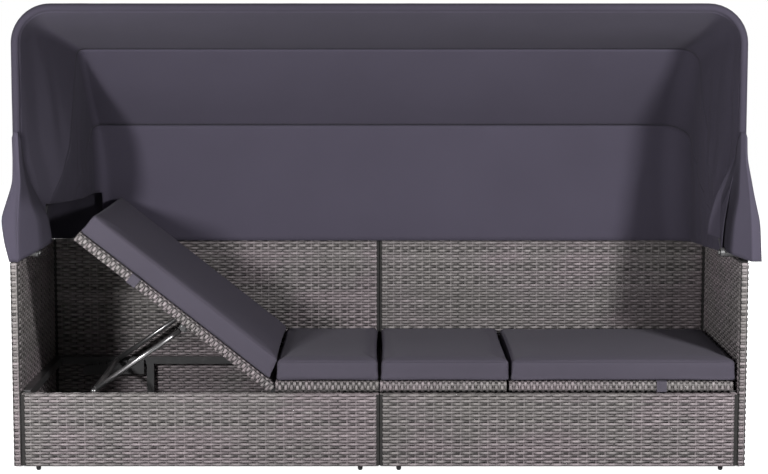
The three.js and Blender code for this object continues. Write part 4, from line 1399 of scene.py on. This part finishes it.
def section_shape(part, layer):
    """The angles of a section's two hoops and how far the cloth sags between them"""
    hoops = SECTIONS[part][1:]
    past = LAST_ANGLE[layer]
    angles = [HOOPS[name]["angle"] + (past if name == "frame" else 0.0) for name in hoops]
    room = LOWER_ROOM[layer] if part == "lower" else 0.0
    return angles, bpy.context.scene.daybed_canopy.sag - room


class DAYBED_OT_lining(bpy.types.Operator):
    """Make the canopy's inner cloth, which hangs inside the hoops"""

    bl_idname = "daybed.lining"
    bl_label = "Canopy Lining"

    def execute(self, context):
        thick = context.scene.daybed_canopy.cloth_thickness
        for part, (_, start, end) in SECTIONS.items():
            bend = HOOPS[start]["corner"] - CLOTH_OFF
            first = CREASES[start][1] if start in CREASES else (bend, bend)
            last = CREASES[end][1]

            def track(name, share):
                left = (1 - share) ** 3
                rounds = [b + (a - b) * left for a, b in zip(first, last)]
                return lining_track(name, -CLOTH_OFF, (48, 12, 120), rounds)

            tracks = [functools.partial(track, name) for name in (start, end)]
            angles, sag = section_shape(part, "lining")
            grid, painted_shade_values = cloth_grid(*tracks, angles, 26, sag, True)
            piece = sheet_piece(f"canopy_lining_{part}", grid, thick, painted_shade_values, trimmed=True)
            stretch(piece, grid, start, end)
        return {"FINISHED"}


class DAYBED_OT_canopy(bpy.types.Operator):
    """Make the canopy's outer cloth over the hoops"""

    bl_idname = "daybed.canopy"
    bl_label = "Canopy Cloth"

    def execute(self, context):
        thick = context.scene.daybed_canopy.cloth_thickness
        for part, (node, start, end) in SECTIONS.items():
            tracks = [outer_track(name, CLOTH_OFF, (24, 10, 80)) for name in (start, end)]
            angles, sag = section_shape(part, "cover")
            grid, _ = cloth_grid(lambda _: tracks[0], lambda _: tracks[1], angles, 16, sag, False)
            piece = sheet_piece(f"canopy_cover_{part}", grid, thick)
            shade_inside(piece, 0.62)
            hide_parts(node)
            stretch(piece, grid, start, end)
        return {"FINISHED"}


# Front flaps and hems

MM = 0.001
# The front flaps at each height, in millimetres: the places across, from the outer edge inwards,
# and the places along the depth
FLAP_TOP = ((1017.5, 1017.5, 1010, 998, 991.2, 990.5, 990), (-262, -271, -283, -283, -277, -270, -262))
FLAPS = {
    "left": {
        950: FLAP_TOP,
        872: ((1015, 1016.5, 1006, 995, 989, 987, 985), (-250, -272, -283, -286, -280, -268, -255)),
        806: ((1015, 1018.5, 1000, 990, 978, 972, 965), (-225, -276, -292, -300, -285, -262, -240)),
        745: ((1030, 1040, 1004, 994, 962, 948, 942), (-205, -280, -299, -312, -290, -250, -215)),
        706: ((1040, 1054, 1006, 997, 945, 925, 935), (-195, -282, -302, -322, -278, -235, -205)),
        640: ((1035, 1045, 1004, 998, 940, 915, 930), (-190, -286, -305, -324, -280, -234, -200)),
        560: ((1025, 1023, 999, 998, 938, 913, 930), (-190, -290, -306, -324, -281, -232, -196)),
    },
    "right": {
        950: FLAP_TOP,
        872: ((1019, 1020, 1011, 997, 988, 986, 984), (-250, -272, -286, -287, -279, -268, -258)),
        766: ((1036, 1043, 1022, 991, 976, 954, 944), (-215, -272, -300, -301, -268, -232, -215)),
        695: ((1048, 1062, 1026, 975.5, 963, 956, 927), (-195, -268, -307, -309, -260, -226, -196)),
        560: ((1048, 1072, 1030, 965, 955, 955, 918), (-190, -262, -313, -313, -256, -222, -190)),
    },
}
FLAP_TOPS = (0.9000, 0.9300, 0.9480, 0.9480, 0.9300, 0.9000, 0.8700)
FLAP_HEMS = {
    "left": (0.5880, 0.5865, 0.5880, 0.5920, 0.6210, 0.6370, 0.6420),
    "right": (0.5900, 0.5840, 0.5900, 0.6120, 0.6200, 0.6450, 0.6550),
}
# Painted shade on each facet of a flap, painted light where below 0, and the more painted shade on its inner
# facets above the arm
FLAP_PAINTED_SHADES = {
    "left": (-0.12, -0.12, -0.08, 0.36, 0.52, 0.54, 0.54),
    "right": (-0.25, -0.25, 0.34, 0.60, 0.50, 0.10, 0.10),
}
FLAP_UPPER_PAINTED_SHADE = {"left": 0.30, "right": 0.0}
# the most painted shade on a flap
MOST_PAINTED_SHADE = 0.6
HEM_THICKNESS = 0.0012
BINDING_RADIUS = 0.0110
BINDING_SIDES = 14
SKIRT_FRONT = -0.262
SKIRT_LENGTH = 0.560
SKIRT_TOP = 0.640
SKIRT_DROP = 0.062
SKIRT_ROWS = 6
SKIRT_COLUMNS = 60


def flap_grid(side, rows=30, steps=7):
    """The grid of a front flap, its folds slightly softened, and the painted shade at each point"""
    heights = sorted(FLAPS[side])
    table = np.array([FLAPS[side][height] for height in heights]) * MM
    heights = np.array(heights) * MM
    columns = range(len(FLAP_TOPS))
    at = np.linspace(0, columns[-1], columns[-1] * steps + 1)
    grid = np.empty((rows + 1, len(at), 3))
    for i, u in enumerate(at):
        hem = np.interp(u, columns, FLAP_HEMS[side])
        top = np.interp(u, columns, FLAP_TOPS)
        for j in range(rows + 1):
            z = top + (hem - top) * j / rows
            for axis in (0, 1):
                section = [np.interp(z, heights, table[:, axis, c]) for c in columns]
                grid[j, i, axis] = np.interp(u, columns, section)
            grid[j, i, 2] = z
    flat = grid[:, :, :2]
    for _ in range(2):
        flat[:, 1:-1] = (flat[:, :-2] + 2 * flat[:, 1:-1] + flat[:, 2:]) / 4
        flat[1:-1] = (flat[:-2] + 2 * flat[1:-1] + flat[2:]) / 4
    grid[:, :, 0] *= SIDES[side]
    painted_shade_values = []
    for line in grid:
        for u, place in zip(at, line):
            # more painted shade on the inner facets above the arm
            upper_painted_shade = FLAP_UPPER_PAINTED_SHADE[side] * smooth(0.72, 0.80, place[2]) if u >= 3 else 0.0
            painted_shade_values.append(min(FLAP_PAINTED_SHADES[side][int(u)] + upper_painted_shade, MOST_PAINTED_SHADE))
    return [[Vector(p) for p in line] for line in grid], painted_shade_values


def skirt_grid(sign):
    """The grid of the cloth that hangs over the top of an arm"""
    grid = []
    for j in range(SKIRT_ROWS + 1):
        out = 0.002 + 0.0105 * smooth(0.0, 4.0, j)
        z = SKIRT_TOP - SKIRT_DROP * j / SKIRT_ROWS
        line = []
        for i in range(SKIRT_COLUMNS + 1):
            y = SKIRT_FRONT + SKIRT_LENGTH * i / SKIRT_COLUMNS
            wave = noise.noise(Vector((y * 11, z * 5, sign)))
            line.append(Vector((sign * (OUTER_HUB + out + 0.0015 * wave), y, z)))
        grid.append(line)
    return grid


class DAYBED_OT_hems(bpy.types.Operator):
    """Make the binding round the front hoop, the front flaps and the hems over the arms"""

    bl_idname = "daybed.hems"
    bl_label = "Canopy Hems"

    def execute(self, context):
        track = hoop_track("front", 0.03, 0.0, (40, 16, 90))
        path = [fan_point(HOOPS["front"]["angle"], x, r) for x, r, _, _ in track]
        mesh = tube_mesh("hoop_binding", path, BINDING_RADIUS, BINDING_SIDES)
        places = points_of(mesh)
        for i, place in enumerate(places):
            centre = path[i // BINDING_SIDES]
            swollen = 1 + 0.06 * noise.noise(Vector(place) * 14.0)
            places[i] = centre + (Vector(place) - centre) * swollen
        set_points(mesh, places)
        # the binding uses the darker copy of the canopy cloth, a painted shade
        piece = new_piece("hoop_binding", mesh, "canopy_hem")
        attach(piece, "hoop_front")
        for side, sign in SIDES.items():
            grid, painted_shade_values = flap_grid(side)
            piece = sheet_piece(f"canopy_flap_{side}", grid, HEM_THICKNESS, painted_shade_values)
            flat, area = flat_size(grid), cloth_area(piece)
            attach(piece, "hoop_front")
            grid = skirt_grid(sign)
            piece = sheet_piece(f"canopy_skirt_{side}", grid, HEM_THICKNESS)
            across, down = flat = flat_size(grid)
            area = min(cloth_area(piece), across * down)
            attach(piece, "frame")
        return {"FINISHED"}


# Stage

FLOOR_HALF = 9
LAMP_RADIUS = 0.13
# Each lamp's setting and place
LAMPS = {
    "left": ("left_light", (-1.64, -2.01, 1.05)),
    "right": ("right_light", (1.690, -2.01, 1.45)),
    "behind_left": ("rear_light", (-2.3, 3.1, 2.3)),
    "behind_right": ("rear_light", (1.9, 3.3, 1.7)),
}
CAMERA_PLACE = (0.0, -5.719, 1.268)
CAMERA_TILT = 6.425  # below the level
CAMERA_SHIFT = 4.55 / 768  # sideways, as a share of the picture's width


class DAYBED_OT_stage(bpy.types.Operator):
    """Set the floor, the lamps, the world and the camera"""

    bl_idname = "daybed.stage"
    bl_label = "Stage"

    def execute(self, context):
        scene = context.scene
        settings = scene.daybed_stage

        def pale_floor(tree):
            """A pale floor that glows only to the camera"""
            seen = tree.node("ShaderNodeLightPath", output="Is Camera Ray")
            speck = tree.noise(tree.place(), 3.0)
            return {
                "Base Color": tree.mix(speck, (0.58, 0.58, 0.58), (0.62, 0.62, 0.62)),
                "Roughness": 0.6,
                "Emission Color": (1, 1, 1, 1),
                "Emission Strength": seen * settings.floor_glow,
            }

        corners = [(x * FLOOR_HALF, y * FLOOR_HALF, 0) for x, y in ((-1, -1), (1, -1), (1, 1), (-1, 1))]
        mesh = mesh_from("floor", corners, [(0, 1, 2, 3)], False)
        mesh.materials.append(finish_material("pale_floor", pale_floor))
        new_object("floor", mesh, (0, 0, -0.0005))

        world = bpy.data.worlds.new("studio")
        scene.world = world
        world.use_nodes = True
        tree = Tree(world.node_tree)
        seen = tree.node("ShaderNodeLightPath", output="Is Camera Ray")
        dim, white = (
            tree.node("ShaderNodeBackground", None, {"Color": (1, 1, 1, 1), "Strength": strength})
            for strength in (settings.fill, 1.0)
        )
        mixed = tree.node("ShaderNodeMixShader", None, {0: seen, 1: dim, 2: white})
        tree.node("ShaderNodeOutputWorld", None, {"Surface": mixed}, None)

        for name, (setting, place) in LAMPS.items():
            data = bpy.data.lights.new(name, "POINT")
            data.energy = getattr(settings, setting)
            data.shadow_soft_size = LAMP_RADIUS
            new_object(name, data, place)
        data = bpy.data.cameras.new("camera")
        data.sensor_width = 36
        data.lens = settings.focal_length
        data.shift_x = CAMERA_SHIFT
        data.clip_end = 50
        camera = new_object("camera", data, CAMERA_PLACE)
        camera.rotation_euler = (math.radians(90 - CAMERA_TILT), 0, 0)
        scene.camera = camera
        scene.view_settings.view_transform = "Standard"
        return {"FINISHED"}


# Settings


def metres(name, default, description):
    """A setting in metres"""
    return bpy.props.FloatProperty(
        name=name, description=description, default=default, unit="LENGTH", precision=4
    )


def watts(name, default, description):
    """A setting in watts"""
    return bpy.props.FloatProperty(
        name=name, description=description, default=default, unit="POWER"
    )


class DaybedWeave(bpy.types.PropertyGroup):
    """Sizes of the woven panels"""

    row_pitch: metres("Row Pitch", 0.0082, "Distance between two rows of strands")
    rib_pitch: metres("Rib Pitch", 0.0241, "Distance between two ribs")
    strand_width: metres("Strand Width", 0.0083, "Width of a strand")
    strand_thickness: metres("Strand Thickness", 0.0015, "Thickness of a strand")
    weave_depth: metres("Weave Depth", 0.0012, "How far a strand bends over a rib")
    corner_radius: metres("Corner Radius", 0.006, "Radius of a panel's upright edges")
    core_reach: metres("Core Reach", 0.005, "How far a wall's core runs on into its neighbours")


class DaybedCushions(bpy.types.PropertyGroup):
    """Sizes of the cushions"""

    thickness: metres("Thickness", 0.059, "Height of a cushion at its edge")
    crown: metres("Crown", 0.004, "How much higher the middle is")
    edge_radius: metres("Edge Radius", 0.0115, "Radius of the soft edges")
    swell_limit: metres("Swell Limit", 0.004, "How far air may move the cloth")
    welt_radius: metres("Welt Radius", 0.0009, "Radius of the seam welt")


class DaybedCanopy(bpy.types.PropertyGroup):
    """Sizes of the canopy"""

    sag: metres("Sag", 0.004, "How far the cloth hangs in between two hoops")
    cloth_thickness: metres("Cloth Thickness", 0.0010, "Thickness of the canopy cloth")


class DaybedStage(bpy.types.PropertyGroup):
    """Lamps and camera"""

    focal_length: bpy.props.FloatProperty(
        name="Focal Length", description="Focal length of the camera", default=92.37, unit="CAMERA"
    )
    fill: bpy.props.FloatProperty(
        name="World Light", description="Strength of the even light", default=0.09, subtype="FACTOR"
    )
    floor_glow: bpy.props.FloatProperty(
        name="Floor Glow", description="Paleness of the floor as seen", default=1.0, subtype="FACTOR"
    )
    left_light: watts("Left Lamp", 158.0, "Power of the lamp on the left")
    right_light: watts("Right Lamp", 194.0, "Power of the lamp on the right")
    rear_light: watts("Rear Lamps", 230.0, "Power of each lamp behind")


STEPS = ("weave", "cushions", "straps", "props", "lining", "canopy", "hems", "steel", "stage")
GROUPS = {
    "daybed_weave": DaybedWeave,
    "daybed_cushions": DaybedCushions,
    "daybed_canopy": DaybedCanopy,
    "daybed_stage": DaybedStage,
}


class DAYBED_PT_panel(bpy.types.Panel):
    """The daybed's sizes and steps"""

    bl_label = "Daybed"
    bl_idname = "DAYBED_PT_panel"
    bl_space_type = "VIEW_3D"
    bl_region_type = "UI"
    bl_category = "Daybed"

    def draw(self, context):
        layout = self.layout
        for group in GROUPS:
            box = layout.box()
            settings = getattr(context.scene, group)
            for name in settings.__annotations__:
                box.prop(settings, name)
        for step in STEPS:
            layout.operator(f"daybed.{step}")


CLASSES = (
    *GROUPS.values(),
    DAYBED_OT_weave,
    DAYBED_OT_cushions,
    DAYBED_OT_straps,
    DAYBED_OT_props,
    DAYBED_OT_lining,
    DAYBED_OT_canopy,
    DAYBED_OT_hems,
    DAYBED_OT_steel,
    DAYBED_OT_stage,
    DAYBED_PT_panel,
)


def register():
    for cls in CLASSES:
        bpy.utils.register_class(cls)
    for name, cls in GROUPS.items():
        setattr(bpy.types.Scene, name, bpy.props.PointerProperty(type=cls))


def unregister():
    for name in GROUPS:
        delattr(bpy.types.Scene, name)
    for cls in reversed(CLASSES):
        bpy.utils.unregister_class(cls)


def main():
    register()
    for step in STEPS:
        getattr(bpy.ops.daybed, step)()


if __name__ == "__main__":
    main()
